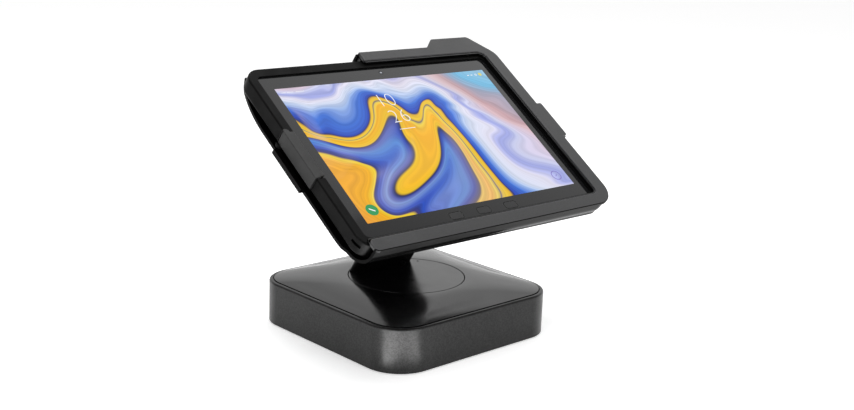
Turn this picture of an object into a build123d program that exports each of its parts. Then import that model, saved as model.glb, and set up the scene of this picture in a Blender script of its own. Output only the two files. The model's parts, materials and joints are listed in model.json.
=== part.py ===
"""Tablet docking station: a square weighted base, a swivel disc, a leaning neck and a tilting
cradle that a tablet in its rugged case slides into from the left.

Millimetres, +Z up. The origin is on the table under the swivel axis, and the front faces -Y.
The cradle and the tablet are laid out on the tilted screen plane, as (across, up, proud of the glass).
"""

import os
from math import cos, radians, sin

from build123d import *

os.makedirs("parts", exist_ok=True)

# Base casing
base_width = 175.0
base_corner = 29.5
base_wall = 3.0
wall_lift = 0.8
wall_height = 35.1
rim_round = 1.6
mat_thick = 2.0
mat_gap = 0.6
plate_thick = 2.0
plate_gap = 0.3
boss_radius = 6.5
boss_inset = 15.0
ledge_width = 3.4
ledge_thick = 2.0
lock_slot_y = 40.0
lock_slot_z = 15.0
lock_slot_length = 7.0
lock_slot_height = 3.0

# Domed cover of the base
cover_gap = 0.8
cover_sink = 0.5
cover_edge = 1.6
cover_wall = 2.5
cover_bulge = 1.6
cover_land = 1.0
disc_proud = 0.3
cover_steps = 4
cover_post_inset = 30.5
cover_post_radius = 4.0
cover_post_cap = 3.7
cover_screw_length = 6.0

# Parts inside the base
ballast_side_gap = 7.5
ballast_front_gap = 9.5
ballast_rear_gap = 7.5
ballast_thick = 10.0
ballast_hole = 17.0
ballast_round = 3.0
pillar_inset = 2.0
pillar_gap = 1.0
pillar_radius = 4.5
board_gap = 2.0
board_depth = 38.0
board_thick = 1.6
board_lift = 4.0
stud_radius = 3.0
port_gap = 0.4
port_skin = 0.6
port_shell = 0.8
port_reach = 0.7
inlet_radius = 3.0
inlet_pin_radius = 1.0
inlet_depth = 10.0
screw_radius = 1.5
screw_head_radius = 2.9
screw_head_height = 1.8
sunk_head = 1.2
screw_length = 14.0
pillar_screw_length = 8.0

# Swivel bearing
disc_radius = 47.4
disc_gap = 0.35
disc_top = 42.2
disc_thick = 3.7
disc_round = 0.4
slot_gap = 0.4
foot_plate_thick = 3.0
flange_radius = 26.0
flange_thick = 3.5
spindle_radius = 12.0
spindle_bore = 7.5
spindle_tail = 2.0
running_gap = 0.05
bush_wall = 3.0
bush_flange = 2.0
bush_flange_radius = 18.0
bush_tail = 2.0
bearing_plate_thick = 3.0
bearing_plate_rim = 8.0
washer_thick = 2.0
washer_radius = 17.0
washer_gap = 0.3
nut_height = 6.0
nut_radius = 17.0
stop_radius = 1.8
stop_place = 29.6
stop_tongue = 4.4
stop_reach = 32.0

# Neck
neck_y = 33.0
neck_lean = 33.0
neck_length = 92.0
neck_width = 62.0
neck_thick = 9.5
neck_round = 4.2
neck_wall = 2.0
neck_skin = 0.8
neck_cover_gap = 15.0
core_width = 40.0
core_thick = 5.0
foot_front = 22.0
foot_back = 37.5
foot_screw_x = 14.0
foot_screw_y = 12.0
neck_root = 8.0
barrel_radius = 9.0
barrel_width = 36.0
cable_radius = 1.4
cable_bend = 5.0
cable_slot = 6.0
cable_slot_front = 4.5
cable_slot_gap = 20.0
thin_screw_radius = 1.1
thin_head_radius = 2.2
neck_screw_x = 13.0
neck_screw_low = 22.0
neck_screw_gap = 30.0

# Tilt hinge
pin_radius = 4.0
pin_head_radius = 7.0
pin_head_height = 3.0
hinge_washer = 1.0
lug_thick = 6.0
lug_radius = 10.5
lug_gap = 0.6
bracket_width = 72.0
bracket_height = 40.0
bracket_thick = 3.0
bracket_screw_u = 28.0
bracket_screw_v = 13.0
hinge_nut_height = 4.0
hinge_nut_radius = 7.0
pin_tail = 1.5

# Place of the screen: its middle lies this far up from the tilt axis and in front of it
screen_tilt = 54.7
screen_up = 17.948
screen_front = 35.375

# Cradle
cradle_side = 8.05
cradle_over = 6.5
cradle_under = 6.1
tray_wall = 2.5
tray_round = 14.0
tray_top_corner = 25.0
tray_low_corner = 18.0
tray_bulge = 1.75
tray_top_inset = 10.35
tray_low_inset = 4.85
tray_bulge_top = 40.0
tray_bulge_low = -62.0
tray_top_wall_left = -14.0
tray_top_wall_cut = -11.0
frame_thick = 2.4
frame_gap = 0.3
frame_round = 0.7
window_side = 0.75
window_over = 0.5
window_under = 0.8
window_top_corner = 8.0
window_low_corner = 6.0
top_rail_left = -12.5
low_rail_inset = 4.65
low_rail_corner = 4.0
rail_end_round = 1.0
tab_foot = 71.4
tab_start = 60.7
tab_end = 18.6
tab_rise = 9.2
tab_drop = 13.2
tab_round = 3.0
tab_end_round = 6.0
tab_side_round = 14.0
side_tab_reach = 5.1
side_tab_round = 2.0
side_tab_top = 18.6
side_tab_low = -20.3
side_tab_depth = 10.0
left_tab_reach = 4.7
left_tab_top = 22.0
left_tab_low = -18.5
left_tab_rise = 4.0
liner_step = 1.4
liner_drop = 0.9
liner_base = 0.6
liner_reach = 6.2
liner_top_corner = 18.0
liner_low_corner = 12.0
guide_depth = 4.6
guide_proud = 0.1
guide_inset = 13.85
top_guide_gap = 51.9
case_gap = 0.4
pad_width = 9.0
pad_thick = 1.9
pad_length = 190.0
pad_rows = (-62.0, -24.0, 24.0, 62.0)

# Housing on the back of the cradle
housing_width = 124.0
housing_low = 8.0
housing_top = 80.0
housing_depth = 10.0
housing_corner = 10.0
housing_wall = 2.0
housing_screw_inset = 9.0
cradle_board_width = 88.0
cradle_board_height = 44.0
cradle_board_thick = 1.6
board_post_height = 2.0
board_post_radius = 2.5
housing_post_radius = 3.5
housing_round = 4.0
housing_notch = 4.0
cradle_chips = ((-24.0, 0.0, 16.0, 1.6), (10.0, 6.0, 11.0, 1.2), (30.0, -8.0, 8.0, 1.6))

# Tablet and its rugged case
tablet_width = 243.5
tablet_height = 170.2
tablet_thick = 9.9
tablet_corner = 8.0
tablet_wall = 2.0
glass_thick = 1.0
panel_thick = 2.4
panel_side = 9.75
panel_edge = 14.6
battery_thick = 4.0
battery_left_gap = 13.75
battery_right_gap = 59.75
battery_edge = 26.1
tablet_chips = ((-30.0, 12.0), (0.0, 12.0), (30.0, 12.0))
chip_inset = 10.0
board_inset = 4.0
case_wall = 4.1
case_corner = 13.0
case_lip = 1.5
glass_relief = 0.2
lip_side = 3.0
lip_top = 4.15
case_back_thick = 2.5
case_back_overlap = 7.0
case_round = 1.4
case_back_round = 3.5
camera_edge = 9.75
camera_radius = 1.7
camera_depth = 1.5
key_width = 13.0
key_height = 6.4
key_corner = 2.2
key_gap = 0.2
key_proud = 0.15
key_thick = 2.0
key_flange = 0.6
key_edge = 9.2
key_places = (-29.3, -0.8, 28.2)
edge_key_width = 5.0
edge_key_proud = 0.9
edge_key_seat = 0.9
edge_key_flange = 1.0
edge_key_w = -5.0
power_key_inset = 37.75
power_key_length = 13.0
volume_key_inset = 69.75
volume_key_length = 26.0

# Port flap, hand-lanyard slot and docking plug
flap_top = 27.0
flap_low = -22.5
flap_depth = 11.5
flap_proud = 2.6
flap_rise = 0.7
flap_gap = 0.35
flap_hinge_inset = 4.0
flap_pin = 1.2
lanyard_edge = 5.6
lanyard_w = -4.0
lanyard_length = 8.5
lanyard_width = 2.4
lanyard_depth = 2.6
plug_w = -4.9
plug_width = 8.4
plug_thick = 2.6
plug_reach = 3.2
plug_gap = 0.5
plug_block_width = 28.0
plug_block_height = 9.0
plug_opening = 10.0

# Key lock in the upper tab
lock_inset = 40.9
lock_rise = 2.6
lock_boss_left = 12.0
lock_boss_right = 16.0
lock_boss_low = 92.0
lock_boss_inset = 1.0
lock_boss_back = -16.0
lock_radius = 4.0
lock_stub = 2.2
lock_cam_thick = 2.4
lock_cam_width = 6.0
lock_cam_length = 12.0
lock_cam_w = -5.0
lock_gap = 0.4
lock_wall = 1.8
keyway_width = 1.6
keyway_length = 5.0
keyway_depth = 3.0
barrel_proud = 1.5

# Heights that follow from the sizes above
rim_top = wall_lift + wall_height
inner_half = base_width / 2 - base_wall
boss_place = base_width / 2 - boss_inset
board_width = 2 * (boss_place - boss_radius - board_gap)
plate_top = mat_thick + plate_thick
cover_low = rim_top - cover_sink - cover_edge
foot_plate_top = disc_top - disc_thick
foot_plate_low = foot_plate_top - foot_plate_thick
flange_low = foot_plate_low - flange_thick
bearing_top = flange_low - bush_flange
bearing_low = bearing_top - bearing_plate_thick
washer_top = bearing_low - bush_tail
nut_top = washer_top - washer_thick
spindle_low = nut_top - nut_height - spindle_tail
board_low = plate_top + board_lift
board_top = board_low + board_thick
board_front = inner_half - board_gap - board_depth
cover_post_place = inner_half - cover_post_inset
bearing_plate_width = 2 * (cover_post_place + bearing_plate_rim)
pillar_x = cover_post_place - pillar_inset
pillar_y = board_front - pillar_radius - pillar_gap
ballast_width = 2 * (pillar_x - pillar_radius - ballast_side_gap)
ballast_front = ballast_front_gap - inner_half
ballast_back = board_front - ballast_rear_gap
neck_cover_length = neck_length - neck_cover_gap
neck_screw_high = neck_length - neck_screw_gap
cable_slot_top = neck_length - cable_slot_gap

# Planes of the neck and of the screen
neck = Plane(
    origin=(0, neck_y, disc_top),
    x_dir=(1, 0, 0),
    z_dir=(0, -sin(radians(neck_lean)), cos(radians(neck_lean))),
)
pivot = neck.from_local_coords(Vector(0, 0, neck_length))
pivot_v = -screen_up
pivot_w = -screen_front
at_pivot = Plane(
    origin=pivot,
    x_dir=(1, 0, 0),
    z_dir=(0, -cos(radians(screen_tilt)), sin(radians(screen_tilt))),
)
screen = Plane(
    origin=at_pivot.from_local_coords(Vector(0, screen_up, screen_front)),
    x_dir=at_pivot.x_dir,
    z_dir=at_pivot.z_dir,
)
neck_side = Plane(origin=neck.origin, x_dir=neck.y_dir, z_dir=neck.x_dir)
neck_middle = Plane(origin=neck.origin, x_dir=neck.x_dir, z_dir=-neck.y_dir)
screen_side = Plane(origin=screen.origin, x_dir=screen.y_dir, z_dir=screen.x_dir)

# Edges of the tablet, its case and the cradle on the screen plane
case_back = -tablet_thick - case_back_thick
case_half_width = tablet_width / 2 + case_wall
case_half_height = tablet_height / 2 + case_wall
tray_floor = case_back - case_gap - pad_thick
tray_back = tray_floor - tray_wall
frame_seat = case_lip + frame_gap + liner_base
frame_face = frame_seat + frame_thick
cradle_right = case_half_width + cradle_side
cradle_top = case_half_height + cradle_over
cradle_bottom = -case_half_height - cradle_under
tray_left = -case_half_width - tray_bulge
tray_left_top = -case_half_width + tray_top_inset
tray_left_low = -case_half_width + tray_low_inset
low_rail_left = -case_half_width + low_rail_inset
window_right = tablet_width / 2 - window_side
window_top = tablet_height / 2 + window_over
window_bottom = -tablet_height / 2 + window_under
tab_foot_left = cradle_right - tab_foot
tab_left = cradle_right - tab_start
tab_right = cradle_right - tab_end
tab_top = cradle_top + tab_rise
side_tab_right = cradle_right + side_tab_reach
guide_high = case_lip + guide_proud
guide_low = guide_high - guide_depth
guide_end = case_half_width - guide_inset
top_guide_right = cradle_right - top_guide_gap
panel_width = tablet_width - 2 * panel_side
panel_height = tablet_height - 2 * panel_edge
battery_left = -tablet_width / 2 + battery_left_gap
battery_right = tablet_width / 2 - battery_right_gap
battery_height = tablet_height - 2 * battery_edge
camera_v = tablet_height / 2 - camera_edge
key_v = -tablet_height / 2 + key_edge
power_key_u = -tablet_width / 2 + power_key_inset
volume_key_u = -tablet_width / 2 + volume_key_inset
lanyard_v = -tablet_height / 2 + lanyard_edge
lock_u = cradle_right - lock_inset
lock_v = cradle_top + lock_rise

# Sockets on the rear: place from the board's end, width, height, depth and height of the tongue
ports = {
    "ethernet_port": (12.0, 16.0, 13.4, 21.0, 0.1),
    "usb_a_ports": (36.0, 14.4, 15.6, 17.0, 0.55),
    "video_port": (60.0, 15.0, 6.0, 12.0, 0.42),
    "usb_c_port": (80.0, 9.2, 3.6, 8.0, 0.42),
}
stacked_ports = ("usb_a_ports",)
inlet_place = 100.0
inlet_x = inlet_place - board_width / 2
inlet_width = 10.0
inlet_height = 10.4
inlet_length = 14.0
board_chips = ((-20.0, 12.0, 12.0, 1.2), (14.0, 14.0, 9.0, 1.0), (44.0, 12.0, 7.0, 2.4))


def save(builder, name):
    """Label a finished piece and write it under its own name."""
    builder.part.label = name
    export_step(builder.part, f"parts/{name}.step")


def block(low, high, mode=Mode.ADD):
    """Add or cut a box between its lowest and highest corners, in the part's own plane."""
    with Locations(tuple((a + b) / 2 for a, b in zip(low, high))):
        Box(*[b - a for a, b in zip(low, high)], mode=mode)


def corner_screws(level, place_x, place_y, head, length, radius=screw_radius, head_radius=screw_head_radius):
    """Add four screws: the heads rise from the level by head, the shanks run from it by length."""
    for size, reach in ((head_radius, head), (radius, length)):
        with BuildSketch(level) as rounds:
            with GridLocations(2 * place_x, 2 * place_y, 2, 2):
                Circle(size)
        extrude(rounds.sketch, amount=reach)


def corner_holes(level, place_x, place_y, depth, radius=screw_radius):
    """Cut four round holes from a level."""
    with BuildSketch(level) as rounds:
        with GridLocations(2 * place_x, 2 * place_y, 2, 2):
            Circle(radius)
    extrude(rounds.sketch, amount=depth, mode=Mode.SUBTRACT)


def dome_sections(sink):
    """Draw the cover's sections from its edge up to the disc, sunk by a wall for the inside."""
    edge_half = inner_half - cover_gap - sink
    top_half = disc_radius + disc_gap + cover_land
    edge_corner = base_corner - base_wall - cover_gap - sink
    rise = disc_top - disc_proud - cover_low - cover_edge
    sections = []
    for step in range(cover_steps + 1):
        share = step / cover_steps
        half = edge_half + (top_half - edge_half) * share
        corner = edge_corner + (0.999 * top_half - edge_corner) * share
        height = cover_low + cover_edge + rise * (1 - (1 - share) ** cover_bulge) - sink
        with BuildSketch(Plane.XY.offset(height)) as section:
            RectangleRounded(2 * half, 2 * half, corner)
        sections.append(section.sketch.face())
    return sections


# Base shell: a rounded square wall with a ledge for the cover and bosses for the bottom plate
with BuildPart() as base_shell:
    with BuildSketch(Plane.XY.offset(wall_lift)):
        RectangleRounded(base_width, base_width, base_corner)
        RectangleRounded(2 * inner_half, 2 * inner_half, base_corner - base_wall, mode=Mode.SUBTRACT)
    extrude(amount=wall_height)
    rim = base_shell.faces().filter_by(Axis.Z).sort_by(Axis.Z)[-1]
    fillet(rim.outer_wire().edges(), rim_round)
    with BuildSketch(Plane.XY.offset(cover_low - ledge_thick)):
        RectangleRounded(2 * inner_half, 2 * inner_half, base_corner - base_wall)
        offset(amount=-ledge_width, mode=Mode.SUBTRACT)
    extrude(amount=ledge_thick)
    with BuildSketch(Plane.XY.offset(plate_top)):
        with GridLocations(2 * boss_place, 2 * boss_place, 2, 2):
            Circle(boss_radius)
        RectangleRounded(base_width - base_wall, base_width - base_wall, base_corner, mode=Mode.INTERSECT)
    extrude(amount=cover_low - ledge_thick - plate_top)
    corner_holes(Plane.XY.offset(plate_top), boss_place, boss_place, screw_length)
    for port_place, port_width, port_height, *_ in ports.values():
        port_x = port_place - board_width / 2
        block(
            (port_x - port_width / 2 - port_gap, inner_half - 1, board_top - port_gap),
            (port_x + port_width / 2 + port_gap, base_width / 2 + 1, board_top + port_height + port_gap),
            Mode.SUBTRACT,
        )
    block(
        (inlet_x - inlet_width / 2 - port_gap, inner_half - 1, board_top - port_gap),
        (inlet_x + inlet_width / 2 + port_gap, base_width / 2 + 1, board_top + inlet_height + port_gap),
        Mode.SUBTRACT,
    )
    block(
        (inner_half - 1, lock_slot_y - lock_slot_length / 2, lock_slot_z - lock_slot_height / 2),
        (base_width / 2 + 1, lock_slot_y + lock_slot_length / 2, lock_slot_z + lock_slot_height / 2),
        Mode.SUBTRACT,
    )
save(base_shell, "base_shell")

# Anti-slip mat, bottom plate and ballast
with BuildPart() as anti_slip_mat:
    with BuildSketch():
        RectangleRounded(*[2 * (inner_half - mat_gap)] * 2, base_corner - base_wall - mat_gap)
    extrude(amount=mat_thick)
save(anti_slip_mat, "anti_slip_mat")

board_middle = Plane.XY.offset(plate_top).move(Location((0, board_front + board_depth / 2, 0)))
stud_x = board_width / 2 - 2 * stud_radius
stud_y = board_depth / 2 - 2 * stud_radius
with BuildPart() as bottom_plate:
    with BuildSketch(Plane.XY.offset(mat_thick)):
        RectangleRounded(*[2 * (inner_half - plate_gap)] * 2, base_corner - base_wall - plate_gap)
    extrude(amount=plate_thick)
    corner_holes(Plane.XY.offset(mat_thick), boss_place, boss_place, plate_thick)
    corner_holes(Plane.XY.offset(mat_thick), boss_place, boss_place, sunk_head, screw_head_radius)
    with BuildSketch(board_middle):
        with GridLocations(2 * stud_x, 2 * stud_y, 2, 2):
            Circle(stud_radius)
    extrude(amount=board_lift)
save(bottom_plate, "bottom_plate")

with BuildPart() as bottom_screws:
    corner_screws(
        Plane.XY.offset(mat_thick), boss_place, boss_place, sunk_head, plate_thick + screw_length - 1
    )
save(bottom_screws, "bottom_screws")

with BuildPart() as ballast_weight:
    with BuildSketch(Plane.XY.offset(plate_top)):
        with Locations((0, (ballast_front + ballast_back) / 2)):
            RectangleRounded(ballast_width, ballast_back - ballast_front, ballast_round)
        Circle(ballast_hole, mode=Mode.SUBTRACT)
    extrude(amount=ballast_thick)
    chamfer(ballast_weight.faces().sort_by(Axis.Z)[-1].outer_wire().edges(), 1)
save(ballast_weight, "ballast_weight")

# Bearing plate on four pillars
with BuildPart() as plate_pillars:
    with BuildSketch(Plane.XY.offset(plate_top)):
        with GridLocations(2 * pillar_x, 2 * pillar_y, 2, 2):
            Circle(pillar_radius)
    extrude(amount=bearing_low - plate_top)
    corner_holes(Plane.XY.offset(bearing_low), pillar_x, pillar_y, -pillar_screw_length)
save(plate_pillars, "plate_pillars")

with BuildPart() as bearing_plate:
    with BuildSketch(Plane.XY.offset(bearing_low)):
        RectangleRounded(bearing_plate_width, bearing_plate_width, 4)
        Circle(spindle_radius + bush_wall, mode=Mode.SUBTRACT)
    extrude(amount=bearing_plate_thick)
    corner_holes(Plane.XY.offset(bearing_low), pillar_x, pillar_y, bearing_plate_thick)
    corner_holes(Plane.XY.offset(bearing_low), cover_post_place, cover_post_place, bearing_plate_thick)
    with BuildSketch(Plane.XY.offset(bearing_top)):
        with Locations((0, stop_place)):
            Circle(stop_radius)
    extrude(amount=bush_flange + flange_thick - 1)
save(bearing_plate, "bearing_plate")

with BuildPart() as pillar_screws:
    corner_screws(
        Plane.XY.offset(bearing_top),
        pillar_x,
        pillar_y,
        screw_head_height,
        1 - bearing_plate_thick - pillar_screw_length,
    )
save(pillar_screws, "pillar_screws")

with BuildPart() as swivel_bush:
    with BuildSketch(Plane.XY.offset(washer_top)):
        Circle(spindle_radius + bush_wall)
    extrude(amount=bearing_top - washer_top)
    with BuildSketch(Plane.XY.offset(bearing_top)):
        Circle(bush_flange_radius)
    extrude(amount=bush_flange)
    with BuildSketch(Plane.XY.offset(washer_top)):
        Circle(spindle_radius + running_gap)
    extrude(amount=flange_low - washer_top, mode=Mode.SUBTRACT)
save(swivel_bush, "swivel_bush")

# Domed top cover, with posts that take its screws from the bearing plate
with BuildPart() as cover_posts:
    with BuildSketch(Plane.XY.offset(bearing_top)):
        with GridLocations(2 * cover_post_place, 2 * cover_post_place, 2, 2):
            Circle(cover_post_radius)
            Circle(screw_radius, mode=Mode.SUBTRACT)
    extrude(amount=disc_top - disc_proud - cover_post_cap - bearing_top)

with BuildPart() as top_cover:
    with BuildSketch(Plane.XY.offset(cover_low)):
        RectangleRounded(*[2 * (inner_half - cover_gap)] * 2, base_corner - base_wall - cover_gap)
    extrude(amount=cover_edge)
    loft(dome_sections(0))
    loft(dome_sections(cover_wall), mode=Mode.SUBTRACT)
    with BuildSketch(Plane.XY.offset(cover_low)):
        Circle(disc_radius + disc_gap)
    extrude(amount=disc_top, mode=Mode.SUBTRACT)
    add(cover_posts.part)
save(top_cover, "top_cover")

with BuildPart() as cover_screws:
    corner_screws(
        Plane.XY.offset(bearing_low),
        cover_post_place,
        cover_post_place,
        -screw_head_height,
        bearing_plate_thick + cover_screw_length,
    )
save(cover_screws, "cover_screws")

# Dock circuit board and the sockets on its rear edge
port_back = base_width / 2 - port_skin
with BuildPart() as dock_board:
    with BuildSketch(board_middle.offset(board_lift)):
        Rectangle(board_width, board_depth)
    extrude(amount=board_thick)
    for chip_x, chip_y, chip_side, chip_height in board_chips:
        block(
            (chip_x - chip_side / 2, board_front + chip_y - chip_side / 2, board_top),
            (chip_x + chip_side / 2, board_front + chip_y + chip_side / 2, board_top + chip_height),
        )
save(dock_board, "dock_board")

for port_name, (port_place, port_width, port_height, port_depth, tongue_place) in ports.items():
    port_x = port_place - board_width / 2
    levels = 2 if port_name in stacked_ports else 1
    pitch = port_height / levels
    mouth_half = port_width / 2 - port_shell
    mouth_front = port_back - port_reach * port_depth
    with BuildPart() as port:
        block(
            (port_x - port_width / 2, port_back - port_depth, board_top),
            (port_x + port_width / 2, port_back, board_top + port_height),
        )
        for level in range(levels):
            low = board_top + level * pitch
            tongue_z = low + tongue_place * pitch
            block(
                (port_x - mouth_half, mouth_front, low + port_shell),
                (port_x + mouth_half, port_back, low + pitch - port_shell),
                Mode.SUBTRACT,
            )
            block(
                (port_x - 0.8 * mouth_half, mouth_front, tongue_z),
                (port_x + 0.8 * mouth_half, port_back - 2 * port_shell, tongue_z + 0.16 * pitch),
            )
    save(port, port_name)

with BuildPart() as power_inlet:
    block(
        (inlet_x - inlet_width / 2, port_back - inlet_length, board_top),
        (inlet_x + inlet_width / 2, port_back, board_top + inlet_height),
    )
    with BuildSketch(Plane.XZ.offset(-port_back)):
        with Locations((inlet_x, board_top + inlet_height / 2)):
            Circle(inlet_radius)
            Circle(inlet_pin_radius, mode=Mode.SUBTRACT)
    extrude(amount=inlet_depth, mode=Mode.SUBTRACT)
save(power_inlet, "power_inlet")

# Swivel: the spindle, its spring washer and nut, and the disc
with BuildPart() as spindle:
    with BuildSketch(Plane.XY.offset(spindle_low)):
        Circle(spindle_radius)
    extrude(amount=flange_low - spindle_low)
    with BuildSketch(Plane.XY.offset(flange_low)):
        Circle(flange_radius)
        with Locations((0, -stop_reach / 2)):
            Rectangle(stop_tongue, stop_reach)
    extrude(amount=flange_thick)
    with BuildSketch(Plane.XY.offset(spindle_low)):
        Circle(spindle_bore)
    extrude(amount=foot_plate_low - spindle_low, mode=Mode.SUBTRACT)
    corner_holes(Plane.XY.offset(flange_low), foot_screw_x, foot_screw_y, flange_thick)
save(spindle, "spindle")

with BuildPart() as spring_washer:
    with BuildSketch(Plane.XY.offset(nut_top)):
        Circle(washer_radius)
        Circle(spindle_radius + washer_gap, mode=Mode.SUBTRACT)
    extrude(amount=washer_thick)
save(spring_washer, "spring_washer")

with BuildPart() as spindle_nut:
    with BuildSketch(Plane.XY.offset(nut_top - nut_height)):
        RegularPolygon(nut_radius, 6)
        Circle(spindle_radius, mode=Mode.SUBTRACT)
    extrude(amount=nut_height)
save(spindle_nut, "spindle_nut")

with BuildPart() as swivel_disc:
    with BuildSketch(Plane.XY.offset(foot_plate_top)):
        Circle(disc_radius)
    extrude(amount=disc_thick)
    fillet(swivel_disc.faces().sort_by(Axis.Z)[-1].edges(), disc_round)
    with BuildSketch(neck.offset(-neck_length / 2)):
        Rectangle(core_width + 2 * slot_gap, core_thick + 2 * slot_gap)
    extrude(amount=neck_length, mode=Mode.SUBTRACT)
    block(
        (-cable_slot / 2, neck_y - cable_slot_front, foot_plate_top),
        (cable_slot / 2, neck_y, disc_top),
        Mode.SUBTRACT,
    )
save(swivel_disc, "swivel_disc")

# Neck: a cast core that carries the hinge, between two cover shells
neck_screw_places = [(x, s) for x in (-neck_screw_x, neck_screw_x) for s in (neck_screw_low, neck_screw_high)]
with BuildPart() as neck_core:
    with BuildSketch(neck_side):
        with Locations((0, (neck_length - neck_root) / 2)):
            Rectangle(core_thick, neck_length + neck_root)
        with Locations((0, neck_length)):
            Circle(barrel_radius)
    extrude(amount=core_width / 2, both=True)
    split(bisect_by=Plane.XY.offset(foot_plate_low), keep=Keep.TOP)
    with BuildSketch(Plane.XY.offset(foot_plate_low)):
        with Locations((0, (foot_back - foot_front) / 2)):
            RectangleRounded(core_width, foot_front + foot_back, 3)
    extrude(amount=foot_plate_thick)
    with BuildSketch(neck_side):
        with Locations((0, neck_length)):
            Circle(pin_radius + running_gap)
    extrude(amount=core_width / 2, both=True, mode=Mode.SUBTRACT)
    for end in (-1, 1):
        with BuildSketch(neck_side.offset(end * barrel_width / 2)):
            with Locations((0, neck_length)):
                Circle(lug_radius + lug_gap)
        extrude(amount=end * core_width / 2, mode=Mode.SUBTRACT)
    with BuildSketch(neck_side):
        with Locations((0, (cable_slot_top - neck_root) / 2)):
            Rectangle(2 * core_thick, cable_slot_top + neck_root)
    extrude(amount=cable_slot / 2, both=True, mode=Mode.SUBTRACT)
    block(
        (-cable_slot / 2, -spindle_bore, foot_plate_low),
        (cable_slot / 2, foot_back - cable_slot / 2, foot_plate_top),
        Mode.SUBTRACT,
    )
    corner_holes(Plane.XY.offset(foot_plate_low), foot_screw_x, foot_screw_y, foot_plate_thick)
    corner_holes(
        Plane.XY.offset(foot_plate_top), foot_screw_x, foot_screw_y, -sunk_head, screw_head_radius
    )
    with BuildSketch(neck_middle):
        with Locations(*neck_screw_places):
            Circle(screw_radius)
    extrude(amount=core_thick, both=True, mode=Mode.SUBTRACT)
save(neck_core, "neck_core")

with BuildPart() as foot_screws:
    corner_screws(
        Plane.XY.offset(foot_plate_top),
        foot_screw_x,
        foot_screw_y,
        -sunk_head,
        -foot_plate_thick - flange_thick,
    )
save(foot_screws, "foot_screws")

with BuildPart() as neck_shell:
    with BuildSketch(neck.offset(-neck_root)):
        RectangleRounded(neck_width, neck_thick, neck_round)
    extrude(amount=neck_root + neck_cover_length)
    with BuildSketch(neck.offset(-neck_root)):
        RectangleRounded(neck_width - 2 * neck_wall, neck_thick - 2 * neck_wall, neck_round - neck_wall)
    extrude(amount=neck_root + neck_cover_length - neck_wall, mode=Mode.SUBTRACT)
    with BuildSketch(neck.offset(neck_cover_length - 2 * neck_wall)):
        Rectangle(core_width + 2 * slot_gap, core_thick + 2 * slot_gap)
    extrude(amount=3 * neck_wall, mode=Mode.SUBTRACT)
    split(bisect_by=Plane.XY.offset(disc_top), keep=Keep.TOP)

with BuildPart() as neck_front_cover:
    add(neck_shell.part)
    split(bisect_by=neck_middle, keep=Keep.TOP)
    with BuildSketch(neck_middle):
        with Locations(*neck_screw_places):
            Circle(thin_screw_radius)
    extrude(amount=neck_thick / 2 - neck_skin, mode=Mode.SUBTRACT)
save(neck_front_cover, "neck_front_cover")

with BuildPart() as neck_rear_cover:
    add(neck_shell.part)
    split(bisect_by=neck_middle, keep=Keep.BOTTOM)
    for radius, start in ((thin_screw_radius, 0), (thin_head_radius, -neck_thick / 2 + sunk_head)):
        with BuildSketch(neck_middle.offset(start)):
            with Locations(*neck_screw_places):
                Circle(radius)
        extrude(amount=-neck_thick, mode=Mode.SUBTRACT)
save(neck_rear_cover, "neck_rear_cover")

with BuildPart() as neck_screws:
    for radius, reach in ((thin_head_radius, sunk_head), (thin_screw_radius, neck_thick - neck_skin - 0.2)):
        with BuildSketch(neck_middle.offset(-neck_thick / 2)):
            with Locations(*neck_screw_places):
                Circle(radius)
        extrude(amount=reach)
save(neck_screws, "neck_screws")

# Cable of the dock: up the spindle's bore, back under the disc and up the slot of the neck
cable_level = foot_plate_low + cable_radius
with BuildPart() as neck_harness:
    with BuildLine() as cable_path:
        FilletPolyline(
            (0, 0, spindle_low),
            (0, 0, cable_level),
            neck.from_local_coords(Vector(0, 0, (cable_level - disc_top) / cos(radians(neck_lean)))),
            neck.from_local_coords(Vector(0, 0, cable_slot_top - 2)),
            radius=cable_bend,
        )
    with BuildSketch(Plane.XY.offset(spindle_low)):
        Circle(cable_radius)
    sweep()
save(neck_harness, "neck_harness")

# Tilt hinge: the bracket's two lugs turn with the pin in the neck's barrel
lug_inner = barrel_width / 2 + hinge_washer
lug_outer = lug_inner + lug_thick
bracket_rear = tray_back - bracket_thick
bracket_places = [
    (u, pivot_v + v) for u in (-bracket_screw_u, bracket_screw_u) for v in (-bracket_screw_v, bracket_screw_v)
]
with BuildPart() as hinge_bracket:
    with BuildSketch(screen.offset(bracket_rear)):
        with Locations((0, pivot_v)):
            RectangleRounded(bracket_width, bracket_height, 4)
        with Locations(*bracket_places):
            Circle(screw_radius, mode=Mode.SUBTRACT)
    extrude(amount=bracket_thick)
    for end in (-1, 1):
        with BuildSketch(screen_side.offset(end * lug_inner)):
            with Locations((pivot_v, pivot_w)):
                Circle(lug_radius)
            with Locations((pivot_v, (pivot_w + bracket_rear) / 2)):
                Rectangle(2 * lug_radius, bracket_rear - pivot_w)
            with Locations((pivot_v, pivot_w)):
                Circle(pin_radius, mode=Mode.SUBTRACT)
        extrude(amount=end * lug_thick)
save(hinge_bracket, "hinge_bracket")

with BuildPart() as hinge_pin:
    for radius, start, end in (
        (pin_radius, -lug_outer, lug_outer + hinge_nut_height + pin_tail),
        (pin_head_radius, -lug_outer - pin_head_height, -lug_outer),
    ):
        with BuildSketch(screen_side.offset(start)):
            with Locations((pivot_v, pivot_w)):
                Circle(radius)
        extrude(amount=end - start)
save(hinge_pin, "hinge_pin")

with BuildPart() as hinge_washers:
    for start in (-lug_inner, lug_inner - hinge_washer):
        with BuildSketch(screen_side.offset(start)):
            with Locations((pivot_v, pivot_w)):
                Circle(barrel_radius)
                Circle(pin_radius + washer_gap, mode=Mode.SUBTRACT)
        extrude(amount=hinge_washer)
save(hinge_washers, "hinge_washers")

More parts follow.
